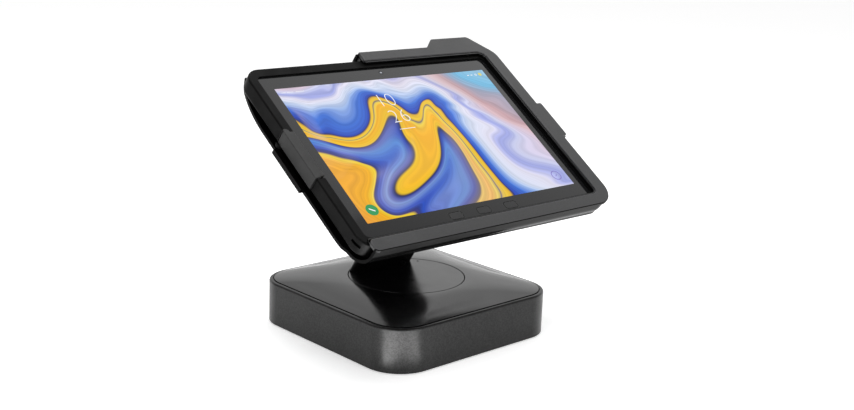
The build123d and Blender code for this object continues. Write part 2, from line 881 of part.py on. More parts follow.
with BuildPart() as hinge_nut:
    with BuildSketch(screen_side.offset(lug_outer)):
        with Locations((pivot_v, pivot_w)):
            RegularPolygon(hinge_nut_radius, 6)
            Circle(pin_radius, mode=Mode.SUBTRACT)
    extrude(amount=hinge_nut_height)
save(hinge_nut, "hinge_nut")

with BuildPart() as bracket_screws:
    for radius, start, end in (
        (screw_head_radius, tray_floor - sunk_head, tray_floor),
        (screw_radius, bracket_rear, tray_floor - sunk_head),
    ):
        with BuildSketch(screen.offset(start)):
            with Locations(*bracket_places):
                Circle(radius)
        extrude(amount=end - start)
save(bracket_screws, "bracket_screws")

# Back tray: a shallow dish with rounded back edges, open on the left for the tablet
inner_top = cradle_top - tray_wall
inner_right = cradle_right - tray_wall
inner_bottom = cradle_bottom + tray_wall
with BuildPart() as tray_inside:
    with BuildSketch(Plane.XY.offset(tray_floor)):
        with BuildLine():
            FilletPolyline(
                (2 * tray_left, inner_bottom),
                (2 * tray_left, inner_top),
                (inner_right, inner_top),
                (inner_right, inner_bottom),
                radius=(0, 0, tray_top_corner - tray_wall, tray_low_corner - tray_wall),
                close=True,
            )
        make_face()
    extrude(amount=frame_face - tray_floor)
    floor_face = tray_inside.faces().filter_by(Axis.Z).sort_by(Axis.Z)[0]
    fillet(floor_face.edges().filter_by(lambda e: e.center().X > tray_left), tray_round - tray_wall)

housing_middle = (housing_low + housing_top) / 2
housing_half = (housing_top - housing_low) / 2
housing_places = [
    (u, housing_middle + v)
    for u in (housing_screw_inset - housing_width / 2, housing_width / 2 - housing_screw_inset)
    for v in (housing_screw_inset - housing_half, housing_half - housing_screw_inset)
]
board_post_u = cradle_board_width / 2 - 2 * board_post_radius
board_post_v = cradle_board_height / 2 - 2 * board_post_radius
board_places = [
    (u, housing_middle + v) for u in (-board_post_u, board_post_u) for v in (-board_post_v, board_post_v)
]
housing_rear = tray_back - housing_depth
cam_low = lock_cam_w - lock_cam_thick / 2
cam_high = lock_cam_w + lock_cam_thick / 2
cam_sweep = lock_cam_length + lock_gap
cam_side = lock_cam_width / 2 + lock_gap
with BuildPart(screen) as back_tray:
    with BuildSketch(screen.offset(tray_back)):
        with BuildLine():
            FilletPolyline(
                (tray_left_top, cradle_top),
                (cradle_right, cradle_top),
                (cradle_right, cradle_bottom),
                (tray_left_low, cradle_bottom),
                radius=(tray_top_corner, tray_low_corner),
            )
            TangentArc((tray_left, tray_bulge_low), (tray_left_low, cradle_bottom), tangent=(0, -1))
            Line((tray_left, tray_bulge_low), (tray_left, tray_bulge_top))
            TangentArc((tray_left, tray_bulge_top), (tray_left_top, cradle_top), tangent=(0, 1))
        make_face()
    extrude(amount=frame_seat - tray_back)
    back_face = back_tray.faces().filter_by(screen).sort_by(Axis(screen.origin, screen.z_dir))[0]
    back_edges = back_face.edges().filter_by(
        lambda e: screen.to_local_coords(e.center()).X > tray_left_top
    )
    fillet(back_edges, tray_round)
    block(
        (lock_u - lock_boss_left, lock_boss_low, lock_boss_back),
        (lock_u + lock_boss_right, tab_top - lock_boss_inset, frame_seat),
    )
    add(tray_inside.part, mode=Mode.SUBTRACT)
    block(
        (2 * tray_left, inner_top - tray_round, tray_top_wall_cut),
        (tray_top_wall_left, cradle_top + 1, frame_face),
        Mode.SUBTRACT,
    )
    block(
        (tray_left - left_tab_reach, left_tab_low, tray_back),
        (tray_left + 1, left_tab_top, tray_back + left_tab_rise),
    )
    block(
        (cradle_right - 1, side_tab_low, frame_seat - side_tab_depth),
        (side_tab_right, side_tab_top, frame_seat),
    )
    block(
        (lock_u - cam_side, inner_top - 1, cam_low - lock_gap),
        (lock_u + cam_sweep, lock_v + cam_side, cam_high + 2 * lock_gap),
        Mode.SUBTRACT,
    )
    with BuildSketch(screen.offset(lock_boss_back)):
        with Locations((lock_u, lock_v)):
            Circle(lock_radius + running_gap)
    extrude(amount=cam_high - lock_boss_back, mode=Mode.SUBTRACT)
    for places, radius, reach in (
        (housing_places, housing_post_radius, housing_depth - housing_wall),
        (board_places, board_post_radius, board_post_height),
    ):
        with BuildSketch(screen.offset(tray_back)):
            with Locations(*places):
                Circle(radius)
        extrude(amount=-reach)
    with BuildSketch(screen.offset(housing_rear)):
        with Locations(*housing_places):
            Circle(screw_radius)
    extrude(amount=housing_depth, mode=Mode.SUBTRACT)
    for radius, start in ((screw_radius, tray_back), (screw_head_radius, tray_floor - sunk_head)):
        with BuildSketch(screen.offset(start)):
            with Locations(*bracket_places):
                Circle(radius)
        extrude(amount=tray_wall, mode=Mode.SUBTRACT)
save(back_tray, "back_tray")

# Housing and circuit board on the back of the tray
with BuildPart(screen) as rear_housing:
    with BuildSketch(screen.offset(housing_rear)):
        with Locations((0, housing_middle)):
            RectangleRounded(housing_width, 2 * housing_half, housing_corner)
    extrude(amount=housing_depth)
    rear_face = rear_housing.faces().filter_by(screen).sort_by(Axis(screen.origin, screen.z_dir))[0]
    fillet(rear_face.edges(), housing_round)
    with BuildSketch(screen.offset(housing_rear + housing_wall)):
        with Locations((0, housing_middle)):
            RectangleRounded(
                housing_width - 2 * housing_wall,
                2 * (housing_half - housing_wall),
                housing_corner - housing_wall,
            )
    extrude(amount=housing_depth, mode=Mode.SUBTRACT)
    block(
        (-housing_notch, housing_low - 1, tray_back - housing_notch),
        (housing_notch, housing_low + 2 * housing_wall, tray_back),
        Mode.SUBTRACT,
    )
    for radius, reach in ((screw_radius, housing_wall), (screw_head_radius, sunk_head)):
        with BuildSketch(screen.offset(housing_rear)):
            with Locations(*housing_places):
                Circle(radius)
        extrude(amount=reach, mode=Mode.SUBTRACT)
save(rear_housing, "rear_housing")

with BuildPart() as housing_screws:
    for radius, start, end in (
        (screw_head_radius, housing_rear, housing_rear + sunk_head),
        (screw_radius, housing_rear + sunk_head, tray_back - 1),
    ):
        with BuildSketch(screen.offset(start)):
            with Locations(*housing_places):
                Circle(radius)
        extrude(amount=end - start)
save(housing_screws, "housing_screws")

board_back = tray_back - board_post_height - cradle_board_thick
with BuildPart(screen) as cradle_board:
    block(
        (-cradle_board_width / 2, housing_middle - cradle_board_height / 2, board_back),
        (cradle_board_width / 2, housing_middle + cradle_board_height / 2, board_back + cradle_board_thick),
    )
    for chip_u, chip_v, chip_side, chip_height in cradle_chips:
        block(
            (chip_u - chip_side / 2, housing_middle + chip_v - chip_side / 2, board_back - chip_height),
            (chip_u + chip_side / 2, housing_middle + chip_v + chip_side / 2, board_back),
        )
save(cradle_board, "cradle_board")

# Front frame of the cradle, open on the left
with BuildPart() as front_frame:
    with BuildSketch(screen.offset(frame_seat)):
        with BuildLine():
            FilletPolyline(
                (top_rail_left, window_top),
                (top_rail_left, cradle_top),
                (tab_foot_left, cradle_top),
                (tab_left, tab_top),
                (tab_right, tab_top),
                (cradle_right, cradle_top - tab_drop),
                (cradle_right, side_tab_top),
                (side_tab_right, side_tab_top),
                (side_tab_right, side_tab_low),
                (cradle_right, side_tab_low),
                (cradle_right, cradle_bottom),
                (low_rail_left, cradle_bottom),
                (low_rail_left, window_bottom),
                (window_right, window_bottom),
                (window_right, window_top),
                radius=(
                    rail_end_round,
                    rail_end_round,
                    tab_round,
                    tab_round,
                    tab_end_round,
                    tab_side_round,
                    0,
                    side_tab_round,
                    side_tab_round,
                    0,
                    tray_low_corner,
                    low_rail_corner,
                    low_rail_corner,
                    window_low_corner,
                    window_top_corner,
                ),
                close=True,
            )
        make_face()
    extrude(amount=frame_face - frame_seat)
    face = front_frame.faces().filter_by(screen).sort_by(Axis(screen.origin, screen.z_dir))[-1]
    fillet(face.edges(), frame_round)
save(front_frame, "front_frame")

# Liner below the frame: a thin base and an upstand round the window
liner_top = window_top - liner_step
liner_right = window_right - liner_step
liner_bottom = window_bottom + liner_step
liner_start = top_rail_left + liner_drop
liner_end = low_rail_left + liner_drop
with BuildPart() as frame_liner:
    with BuildSketch(screen.offset(frame_seat - liner_base)):
        with BuildLine():
            FilletPolyline(
                (liner_start, liner_top),
                (liner_start, window_top + liner_reach),
                (window_right + liner_reach, window_top + liner_reach),
                (window_right + liner_reach, window_bottom - liner_reach),
                (liner_end, window_bottom - liner_reach),
                (liner_end, liner_bottom),
                (liner_right, liner_bottom),
                (liner_right, liner_top),
                radius=(
                    0,
                    0,
                    liner_top_corner,
                    liner_low_corner,
                    0,
                    0,
                    window_low_corner - liner_step,
                    window_top_corner - liner_step,
                ),
                close=True,
            )
        make_face()
    extrude(amount=liner_base)
    with BuildSketch(screen.offset(frame_seat)):
        with BuildLine():
            FilletPolyline(
                (liner_start, liner_top),
                (liner_start, window_top),
                (window_right, window_top),
                (window_right, window_bottom),
                (liner_end, window_bottom),
                (liner_end, liner_bottom),
                (liner_right, liner_bottom),
                (liner_right, liner_top),
                radius=(
                    0,
                    0,
                    window_top_corner,
                    window_low_corner,
                    0,
                    0,
                    window_low_corner - liner_step,
                    window_top_corner - liner_step,
                ),
                close=True,
            )
        make_face()
    extrude(amount=frame_face - liner_drop - frame_seat)
save(frame_liner, "frame_liner")

# Guides and pads the case slides on, and the docking plug
with BuildPart(screen) as side_guides:
    block(
        (-guide_end, inner_bottom, guide_low),
        (guide_end, -case_half_height - case_gap, guide_high),
    )
    block(
        (top_rail_left, case_half_height + case_gap, guide_low),
        (top_guide_right, inner_top, guide_high),
    )
save(side_guides, "side_guides")

with BuildPart(screen) as tray_pads:
    for row in pad_rows:
        block(
            (-pad_length / 2, row - pad_width / 2, tray_floor),
            (pad_length / 2, row + pad_width / 2, case_back - case_gap),
        )
save(tray_pads, "tray_pads")

with BuildPart(screen) as dock_connector:
    block(
        (case_half_width + plug_gap, -plug_block_width / 2, plug_w - plug_block_height / 2),
        (inner_right, plug_block_width / 2, plug_w + plug_block_height / 2),
    )
    add(tray_inside.part, mode=Mode.INTERSECT)
    block(
        (tablet_width / 2 - plug_reach, -plug_width / 2, plug_w - plug_thick / 2),
        (case_half_width + 2 * plug_gap, plug_width / 2, plug_w + plug_thick / 2),
    )
save(dock_connector, "dock_connector")

# Key lock in the upper tab
with BuildPart(screen) as lock_barrel:
    for radius, start, end in (
        (lock_radius, lock_boss_back - barrel_proud, cam_low),
        (lock_stub, cam_low, cam_high + lock_gap),
    ):
        with BuildSketch(screen.offset(start)):
            with Locations((lock_u, lock_v)):
                Circle(radius)
        extrude(amount=end - start)
    block(
        (lock_u - keyway_width / 2, lock_v - keyway_length / 2, lock_boss_back - 2),
        (lock_u + keyway_width / 2, lock_v + keyway_length / 2, lock_boss_back - barrel_proud + keyway_depth),
        Mode.SUBTRACT,
    )
save(lock_barrel, "lock_barrel")

with BuildPart() as lock_cam:
    with BuildSketch(screen.offset(cam_low)):
        with Locations((lock_u, lock_v)):
            Circle(lock_cam_width / 2)
        with Locations((lock_u + (lock_cam_length - 1) / 2, lock_v)):
            RectangleRounded(lock_cam_length - 1, lock_cam_width, 1)
        with Locations((lock_u, lock_v)):
            Circle(lock_stub, mode=Mode.SUBTRACT)
    extrude(amount=lock_cam_thick)
save(lock_cam, "lock_cam")

# Tablet
key_half_u = key_width / 2 + key_gap
key_half_v = key_height / 2 + key_gap
with BuildPart(screen) as tablet_housing:
    with BuildSketch(screen.offset(-tablet_thick)):
        RectangleRounded(tablet_width, tablet_height, tablet_corner)
    extrude(amount=tablet_thick - glass_thick)
    with BuildSketch(screen.offset(-tablet_thick + tablet_wall / 2)):
        RectangleRounded(
            tablet_width - 2 * tablet_wall, tablet_height - 2 * tablet_wall, tablet_corner - tablet_wall
        )
    extrude(amount=tablet_thick, mode=Mode.SUBTRACT)
    block(
        (tablet_width / 2 - 2 * tablet_wall, -plug_width / 2 - plug_gap, plug_w - plug_thick / 2 - plug_gap),
        (tablet_width / 2 + 1, plug_width / 2 + plug_gap, plug_w + plug_thick / 2 + plug_gap),
        Mode.SUBTRACT,
    )
save(tablet_housing, "tablet_housing")

with BuildPart(screen) as cover_glass:
    with BuildSketch(screen.offset(-glass_thick)):
        RectangleRounded(tablet_width - tablet_wall, tablet_height - tablet_wall, tablet_corner - 1)
        with Locations((0, camera_v)):
            Circle(camera_radius + key_gap, mode=Mode.SUBTRACT)
        for key_u in key_places:
            with Locations((key_u, key_v)):
                RectangleRounded(2 * key_half_u, 2 * key_half_v, key_corner + key_gap, mode=Mode.SUBTRACT)
    extrude(amount=glass_thick)
save(cover_glass, "cover_glass")

with BuildPart(screen) as display_panel:
    block(
        (-panel_width / 2, -panel_height / 2, -glass_thick - panel_thick),
        (panel_width / 2, panel_height / 2, -glass_thick),
    )
save(display_panel, "display_panel")

with BuildPart(screen) as front_camera:
    with BuildSketch(screen.offset(-glass_thick - camera_depth)):
        with Locations((0, camera_v)):
            Circle(camera_radius)
    extrude(amount=glass_thick + camera_depth - key_gap)
    block(
        (-2 * camera_radius, camera_v - 2 * camera_radius, -glass_thick - 2 * camera_depth),
        (2 * camera_radius, camera_v + 2 * camera_radius, -glass_thick - camera_depth),
    )
save(front_camera, "front_camera")

tablet_floor = -tablet_thick + tablet_wall / 2
with BuildPart(screen) as tablet_battery:
    block(
        (battery_left, -battery_height / 2, tablet_floor),
        (battery_right, battery_height / 2, tablet_floor + battery_thick),
    )
    chamfer(tablet_battery.faces().filter_by(screen)[-1].edges(), 0.6)
save(tablet_battery, "tablet_battery")

with BuildPart(screen) as tablet_board:
    block(
        (battery_right + board_inset, -battery_height / 2, tablet_floor),
        (tablet_width / 2 - 3 * tablet_wall, battery_height / 2, tablet_floor + cradle_board_thick),
    )
    for chip_v, chip_side in tablet_chips:
        block(
            (battery_right + chip_inset, chip_v - chip_side / 2, tablet_floor + cradle_board_thick),
            (
                battery_right + chip_inset + chip_side,
                chip_v + chip_side / 2,
                tablet_floor + 2 * cradle_board_thick,
            ),
        )
save(tablet_board, "tablet_board")

# Rugged case round the tablet
lip_right = tablet_width / 2 - lip_side
lip_high = tablet_height / 2 - lip_top
flap_outer = -case_half_width - flap_proud
flap_inner = -tablet_width / 2 - flap_gap + 0.1
flap_round = (flap_inner - flap_outer) / 2
flap_u = (flap_inner + flap_outer) / 2
flap_v = flap_top - flap_hinge_inset
flap_high = case_lip + flap_rise
flap_floor = flap_high - flap_depth
edge_keys = {"power_key": (power_key_u, power_key_length), "volume_key": (volume_key_u, volume_key_length)}
edge_flange = case_half_height - case_wall + edge_key_seat
with BuildPart(screen) as case_bumper:
    with BuildSketch(screen.offset(case_back)):
        RectangleRounded(2 * case_half_width, 2 * case_half_height, case_corner)
    extrude(amount=case_lip - case_back)
    levels = case_bumper.faces().filter_by(screen).sort_by(Axis(screen.origin, screen.z_dir))
    fillet(levels[0].edges(), case_back_round)
    levels = case_bumper.faces().filter_by(screen).sort_by(Axis(screen.origin, screen.z_dir))
    fillet(levels[-1].edges(), case_round)
    with BuildSketch(screen.offset(flap_floor - flap_gap)):
        with Locations((flap_u, flap_v)):
            Circle(flap_round)
    extrude(amount=case_back - flap_floor + flap_gap)
    with BuildSketch(screen.offset(-tablet_thick)):
        RectangleRounded(tablet_width, tablet_height, tablet_corner)
    extrude(amount=tablet_thick + glass_relief, mode=Mode.SUBTRACT)
    with BuildSketch(screen):
        RectangleRounded(2 * lip_right, 2 * lip_high, tablet_corner - lip_side)
    extrude(amount=2 * case_lip, mode=Mode.SUBTRACT)
    with BuildSketch(screen.offset(case_back)):
        RectangleRounded(
            tablet_width - 2 * case_back_overlap, tablet_height - 2 * case_back_overlap, tablet_corner
        )
    extrude(amount=case_back_thick, mode=Mode.SUBTRACT)
    block(
        (-case_half_width - 1, flap_low - 2 * flap_gap, flap_floor - flap_gap),
        (-tablet_width / 2, flap_v, 2 * case_lip),
        Mode.SUBTRACT,
    )
    with BuildSketch(screen.offset(flap_floor - flap_gap)):
        with Locations((flap_u, flap_v)):
            Circle(flap_round + flap_gap)
    extrude(amount=flap_depth, mode=Mode.SUBTRACT)
    block(
        (-case_half_width, flap_low - 2 * flap_gap, glass_relief),
        (-lip_right + 2 * flap_gap, flap_v + flap_gap, 2 * case_lip),
        Mode.SUBTRACT,
    )
    with BuildSketch(screen.offset(case_back)):
        with Locations((flap_u, flap_v)):
            Circle(flap_pin + running_gap)
    extrude(amount=flap_floor - case_back, mode=Mode.SUBTRACT)
    for key_u, key_long in edge_keys.values():
        for reach, low, high in (
            (flap_gap, edge_flange, case_half_height + 1),
            (edge_key_flange + flap_gap, case_half_height - case_wall, edge_flange + edge_key_flange),
        ):
            block(
                (key_u - key_long / 2 - reach, low, edge_key_w - edge_key_width / 2 - reach),
                (key_u + key_long / 2 + reach, high, edge_key_w + edge_key_width / 2 + reach),
                Mode.SUBTRACT,
            )
    block(
        (-case_half_width - 1, lanyard_v - lanyard_length / 2, lanyard_w - lanyard_width / 2),
        (-case_half_width + lanyard_depth, lanyard_v + lanyard_length / 2, lanyard_w + lanyard_width / 2),
        Mode.SUBTRACT,
    )
    block(
        (tablet_width / 2 - 1, -plug_opening, plug_w - plug_block_height / 2 + plug_gap),
        (case_half_width + 1, plug_opening, plug_w + plug_block_height / 2 - plug_gap),
        Mode.SUBTRACT,
    )
    block(
        (lock_u - cam_side - 1.5, tablet_height / 2 + lock_gap, cam_low - 1),
        (lock_u + cam_sweep + 1.5, case_half_height + 1, cam_high + 1),
        Mode.SUBTRACT,
    )
save(case_bumper, "case_bumper")

with BuildPart(screen) as case_back_panel:
    with BuildSketch(screen.offset(case_back)):
        RectangleRounded(
            tablet_width - 2 * case_back_overlap, tablet_height - 2 * case_back_overlap, tablet_corner
        )
    extrude(amount=case_back_thick)
save(case_back_panel, "case_back")

# Flap over the tablet's port, turning at its upper end
with BuildPart(screen) as port_flap:
    with BuildSketch(screen.offset(flap_floor)):
        with Locations((flap_u, (flap_low + flap_v) / 2)):
            Rectangle(2 * flap_round, flap_v - flap_low)
        with Locations((flap_u, flap_v)):
            Circle(flap_round)
    extrude(amount=flap_depth)
    block(
        (flap_inner - 1, flap_low + 1, glass_relief + 0.1),
        (-lip_right + flap_gap, flap_v, flap_high),
    )
    with BuildSketch(screen.offset(flap_floor)):
        with Locations((flap_u, flap_v)):
            Circle(flap_pin)
    extrude(amount=case_back - flap_floor + case_gap)
    flap_face = port_flap.faces().filter_by(screen).sort_by(Axis(screen.origin, screen.z_dir))[-1]
    fillet(flap_face.edges(), flap_rise)
save(port_flap, "port_flap")

# Keys below the screen and on the upper edge
for key_name, key_u in zip(("front_key_left", "front_key_middle", "front_key_right"), key_places):
    with BuildPart(screen) as front_key:
        with BuildSketch(screen.offset(-key_thick)):
            with Locations((key_u, key_v)):
                RectangleRounded(key_width, key_height, key_corner)
        extrude(amount=key_thick + key_proud)
        block(
            (key_u - key_width / 2 - key_flange, key_v - key_height / 2 - key_flange, -key_thick),
            (key_u + key_width / 2 + key_flange, key_v + key_height / 2 + key_flange, -glass_thick),
        )
    save(front_key, key_name)

for key_name, (key_u, key_long) in edge_keys.items():
    with BuildPart(screen) as edge_key:
        block(
            (key_u - key_long / 2, edge_flange, edge_key_w - edge_key_width / 2),
            (key_u + key_long / 2, case_half_height + edge_key_proud, edge_key_w + edge_key_width / 2),
        )
        key_face = edge_key.faces().sort_by(Axis(screen.origin, screen.y_dir))[-1]
        fillet(key_face.edges(), flap_rise)
        block(
            (key_u - key_long / 2 - edge_key_flange, edge_flange, edge_key_w - edge_key_width / 2 - edge_key_flange),
            (
                key_u + key_long / 2 + edge_key_flange,
                edge_flange + edge_key_flange,
                edge_key_w + edge_key_width / 2 + edge_key_flange,
            ),
        )
    save(edge_key, key_name)
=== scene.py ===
"""Looks of the tablet docking station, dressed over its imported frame.

Lengths are in millimetres and become metres where a piece is made. Only the lamps and the floor are laid out
in metres. The cradle and the tablet are laid out on the tilted screen plane, as (across, up, proud of the
glass).
"""

import json
import logging
import math
from collections.abc import Callable
from dataclasses import dataclass, field
from enum import Enum

import bpy
from bpy.types import Material, MeshPolygon, Node, NodeSocket, NodeTree, Object
from mathutils import Matrix, Vector

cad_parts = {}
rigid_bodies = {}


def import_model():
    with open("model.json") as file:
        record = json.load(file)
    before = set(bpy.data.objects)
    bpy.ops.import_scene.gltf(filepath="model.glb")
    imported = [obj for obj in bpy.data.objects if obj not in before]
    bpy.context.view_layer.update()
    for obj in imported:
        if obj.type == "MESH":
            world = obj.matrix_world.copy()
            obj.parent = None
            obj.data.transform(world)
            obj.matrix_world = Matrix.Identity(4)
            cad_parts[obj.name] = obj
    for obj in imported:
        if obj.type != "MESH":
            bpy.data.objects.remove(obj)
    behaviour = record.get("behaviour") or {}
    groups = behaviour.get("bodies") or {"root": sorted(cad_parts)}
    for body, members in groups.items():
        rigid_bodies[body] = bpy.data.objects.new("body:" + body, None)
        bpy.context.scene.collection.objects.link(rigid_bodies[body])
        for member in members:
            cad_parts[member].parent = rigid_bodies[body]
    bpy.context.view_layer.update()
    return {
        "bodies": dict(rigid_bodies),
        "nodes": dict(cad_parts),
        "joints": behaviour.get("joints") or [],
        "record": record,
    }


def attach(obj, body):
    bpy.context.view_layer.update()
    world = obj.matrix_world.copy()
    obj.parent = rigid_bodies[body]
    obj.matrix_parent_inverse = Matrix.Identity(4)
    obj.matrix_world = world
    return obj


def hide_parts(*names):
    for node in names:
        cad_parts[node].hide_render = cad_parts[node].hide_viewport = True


LOG = logging.getLogger("docking_station")
MM = 0.001

# The screen's middle in the shared frame in mm, and how many degrees the screen leans back from upright
SCREEN_MIDDLE = (0.0, -22.9, 158.6)
SCREEN_TILT = 54.7

# Nearly all of a noise's values lie in this range, around this middle
NOISE_RANGE = {"From Min": 0.3, "From Max": 0.7}
NOISE_MIDDLE = 0.5

# Brushed lines are this many times longer than wide
BRUSH_STRETCH = 14.0

# Metal flakes to one grain's width of a speckled coat
FLAKES_PER_GRAIN = 0.8

# Width of the marks that hands leave, in mm, and the smoothest that a surface gets between them
MARK_WIDTH = 22.0
LEAST_ROUGHNESS = 0.02

# The finishes' materials that are made already, by name
MADE: dict[str, Material] = {}


def linear(code: str) -> tuple[float, float, float, float]:
    """Turn an sRGB hex colour into a linear one.

    Args:
        code: Six hex digits.

    Returns:
        Red, green and blue from 0 to 1 in linear light, and an alpha of 1.
    """
    parts = [int(code[i : i + 2], 16) / 255 for i in (0, 2, 4)]
    red, green, blue = [c / 12.92 if c <= 0.04045 else ((c + 0.055) / 1.055) ** 2.4 for c in parts]
    return (red, green, blue, 1.0)


def screen_matrix() -> Matrix:
    """Return the matrix that carries (across, up, proud) in metres to the shared frame."""
    tilt = math.radians(SCREEN_TILT)
    across = Vector((1, 0, 0))
    up = Vector((0, math.sin(tilt), math.cos(tilt)))
    proud = Vector((0, -math.cos(tilt), math.sin(tilt)))
    turn = Matrix((across, up, proud)).transposed().to_4x4()
    return Matrix.Translation(Vector(SCREEN_MIDDLE) * MM) @ turn


def put(tree: NodeTree, kind: str, inputs: dict | None = None, **settings: object) -> Node:
    """Add a node with its settings, values and links.

    Args:
        tree: The node tree that takes the node.
        kind: The node's type name, without the ShaderNode that all of them start with.
        inputs: Socket name or number to a value, or to an output socket that is linked to it.
        settings: The node's own properties.

    Returns:
        The new node.
    """
    node = tree.nodes.new("ShaderNode" + kind)
    for name, value in settings.items():
        setattr(node, name, value)
    for key, value in (inputs or {}).items():
        if isinstance(value, NodeSocket):
            tree.links.new(value, node.inputs[key])
        else:
            node.inputs[key].default_value = value
    return node


def fresh(name: str) -> tuple[Material, NodeTree]:
    """Make a material with no nodes.

    Args:
        name: The material's name.

    Returns:
        The material and its empty node tree.
    """
    material = bpy.data.materials.new(name)
    material.use_nodes = True
    material.node_tree.nodes.clear()
    return material, material.node_tree


class Texture(Enum):
    """The form of a surface's fine relief; EVEN is for what is moulded, cast or painted."""

    EVEN = "even"
    SPECKLED = "speckled"
    BRUSHED = "brushed"


@dataclass(frozen=True)
class Finish:
    """A surface with a fine relief, a change of tone at the same scale, and broad handling marks.

    One pixel of the render covers about 0.8 mm. A grain that is finer in reality is drawn at 0.7 mm or
    more, so that it shows.

    Attributes:
        name: What the material really is.
        tone: Its colour in sRGB hex, or the colour of its light.
        roughness: The shader's value of that name, as are the next five.
        texture: The form of its fine relief.
        grain: Width of the fine relief in mm.
        relief: Height of the fine relief in mm.
        contrast: How much lighter and darker the tone gets, as a share.
        marks: How much the handling marks change the roughness.
        emission: Strength of its light, or 0 for a surface that only reflects.
    """

    name: str
    tone: str
    roughness: float
    metallic: float = 0.0
    ior: float = 1.5
    specular: float = 0.5
    coat: float = 0.0
    coat_roughness: float = 0.1
    texture: Texture = Texture.EVEN
    grain: float = 0.8
    relief: float = 0.02
    contrast: float = 0.12
    marks: float = 0.05
    emission: float = 0.0

    def height(self, tree: NodeTree, place: NodeSocket) -> NodeSocket:
        """Add the nodes of the fine relief.

        Args:
            tree: The node tree.
            place: The place on the piece.

        Returns:
            The relief's height from 0 to 1.
        """
        grains = {"Vector": place, "Scale": 1 / (self.grain * MM), "Detail": 3.0, "Roughness": 0.6}
        fine = put(tree, "TexNoise", grains).outputs["Fac"]
        if self.texture is Texture.SPECKLED:
            flakes = FLAKES_PER_GRAIN / (self.grain * MM)
            cells = put(tree, "TexVoronoi", {"Vector": place, "Scale": flakes})
            flake = put(tree, "SeparateColor", {0: cells.outputs["Color"]}).outputs[0]
            # The mean of grain and flake
            fine = put(tree, "Math", {0: fine, 1: flake}, operation="ADD").outputs[0]
            fine = put(tree, "Math", {0: fine, 1: 0.5}, operation="MULTIPLY").outputs[0]
        return fine

    def material(self) -> Material:
        """Return the finish as a node material, made once and then used again."""
        if self.name in MADE:
            return MADE[self.name]
        material, tree = fresh(self.name)
        MADE[self.name] = material
        place = put(tree, "TexCoord").outputs["Object"]
        if self.texture is Texture.BRUSHED:
            stretch = (1, BRUSH_STRETCH, BRUSH_STRETCH)
            place = put(tree, "Mapping", {"Vector": place, "Scale": stretch}).outputs[0]
        fine = self.height(tree, place)
        marks = {"Vector": place, "Scale": 1 / (MARK_WIDTH * MM), "Detail": 2.0}
        broad = put(tree, "TexNoise", marks).outputs["Fac"]
        # What only glows has no colour of its own to reflect
        tone = (0.0, 0.0, 0.0) if self.emission else linear(self.tone)[:3]
        dark = (*(c * (1 - self.contrast) for c in tone), 1)
        light = (*(c * (1 + self.contrast) for c in tone), 1)
        spread = put(tree, "MapRange", {"Value": fine, **NOISE_RANGE}).outputs[0]
        colour = put(tree, "Mix", {0: spread, 6: dark, 7: light}, data_type="RGBA").outputs[2]
        smoothest = max(self.roughness - self.marks, LEAST_ROUGHNESS)
        roughest = min(self.roughness + self.marks, 1.0)
        wear = {"Value": broad, **NOISE_RANGE, "To Min": smoothest, "To Max": roughest}
        rough = put(tree, "MapRange", wear).outputs[0]
        bump = {"Height": fine, "Strength": 1.0, "Distance": self.relief * MM}
        relief = put(tree, "Bump", bump).outputs[0]
        values = {
            "Base Color": colour,
            "Roughness": rough,
            "Normal": relief,
            "Metallic": self.metallic,
            "Specular IOR Level": self.specular,
            "Coat Weight": self.coat,
            "Coat Roughness": self.coat_roughness,
        }
        if not self.metallic:
            values["IOR"] = self.ior
        if self.emission:
            values["Emission Color"] = linear(self.tone)
            values["Emission Strength"] = self.emission
        shader = put(tree, "BsdfPrincipled", values)
        put(tree, "OutputMaterial", {"Surface": shader.outputs[0]})
        return material


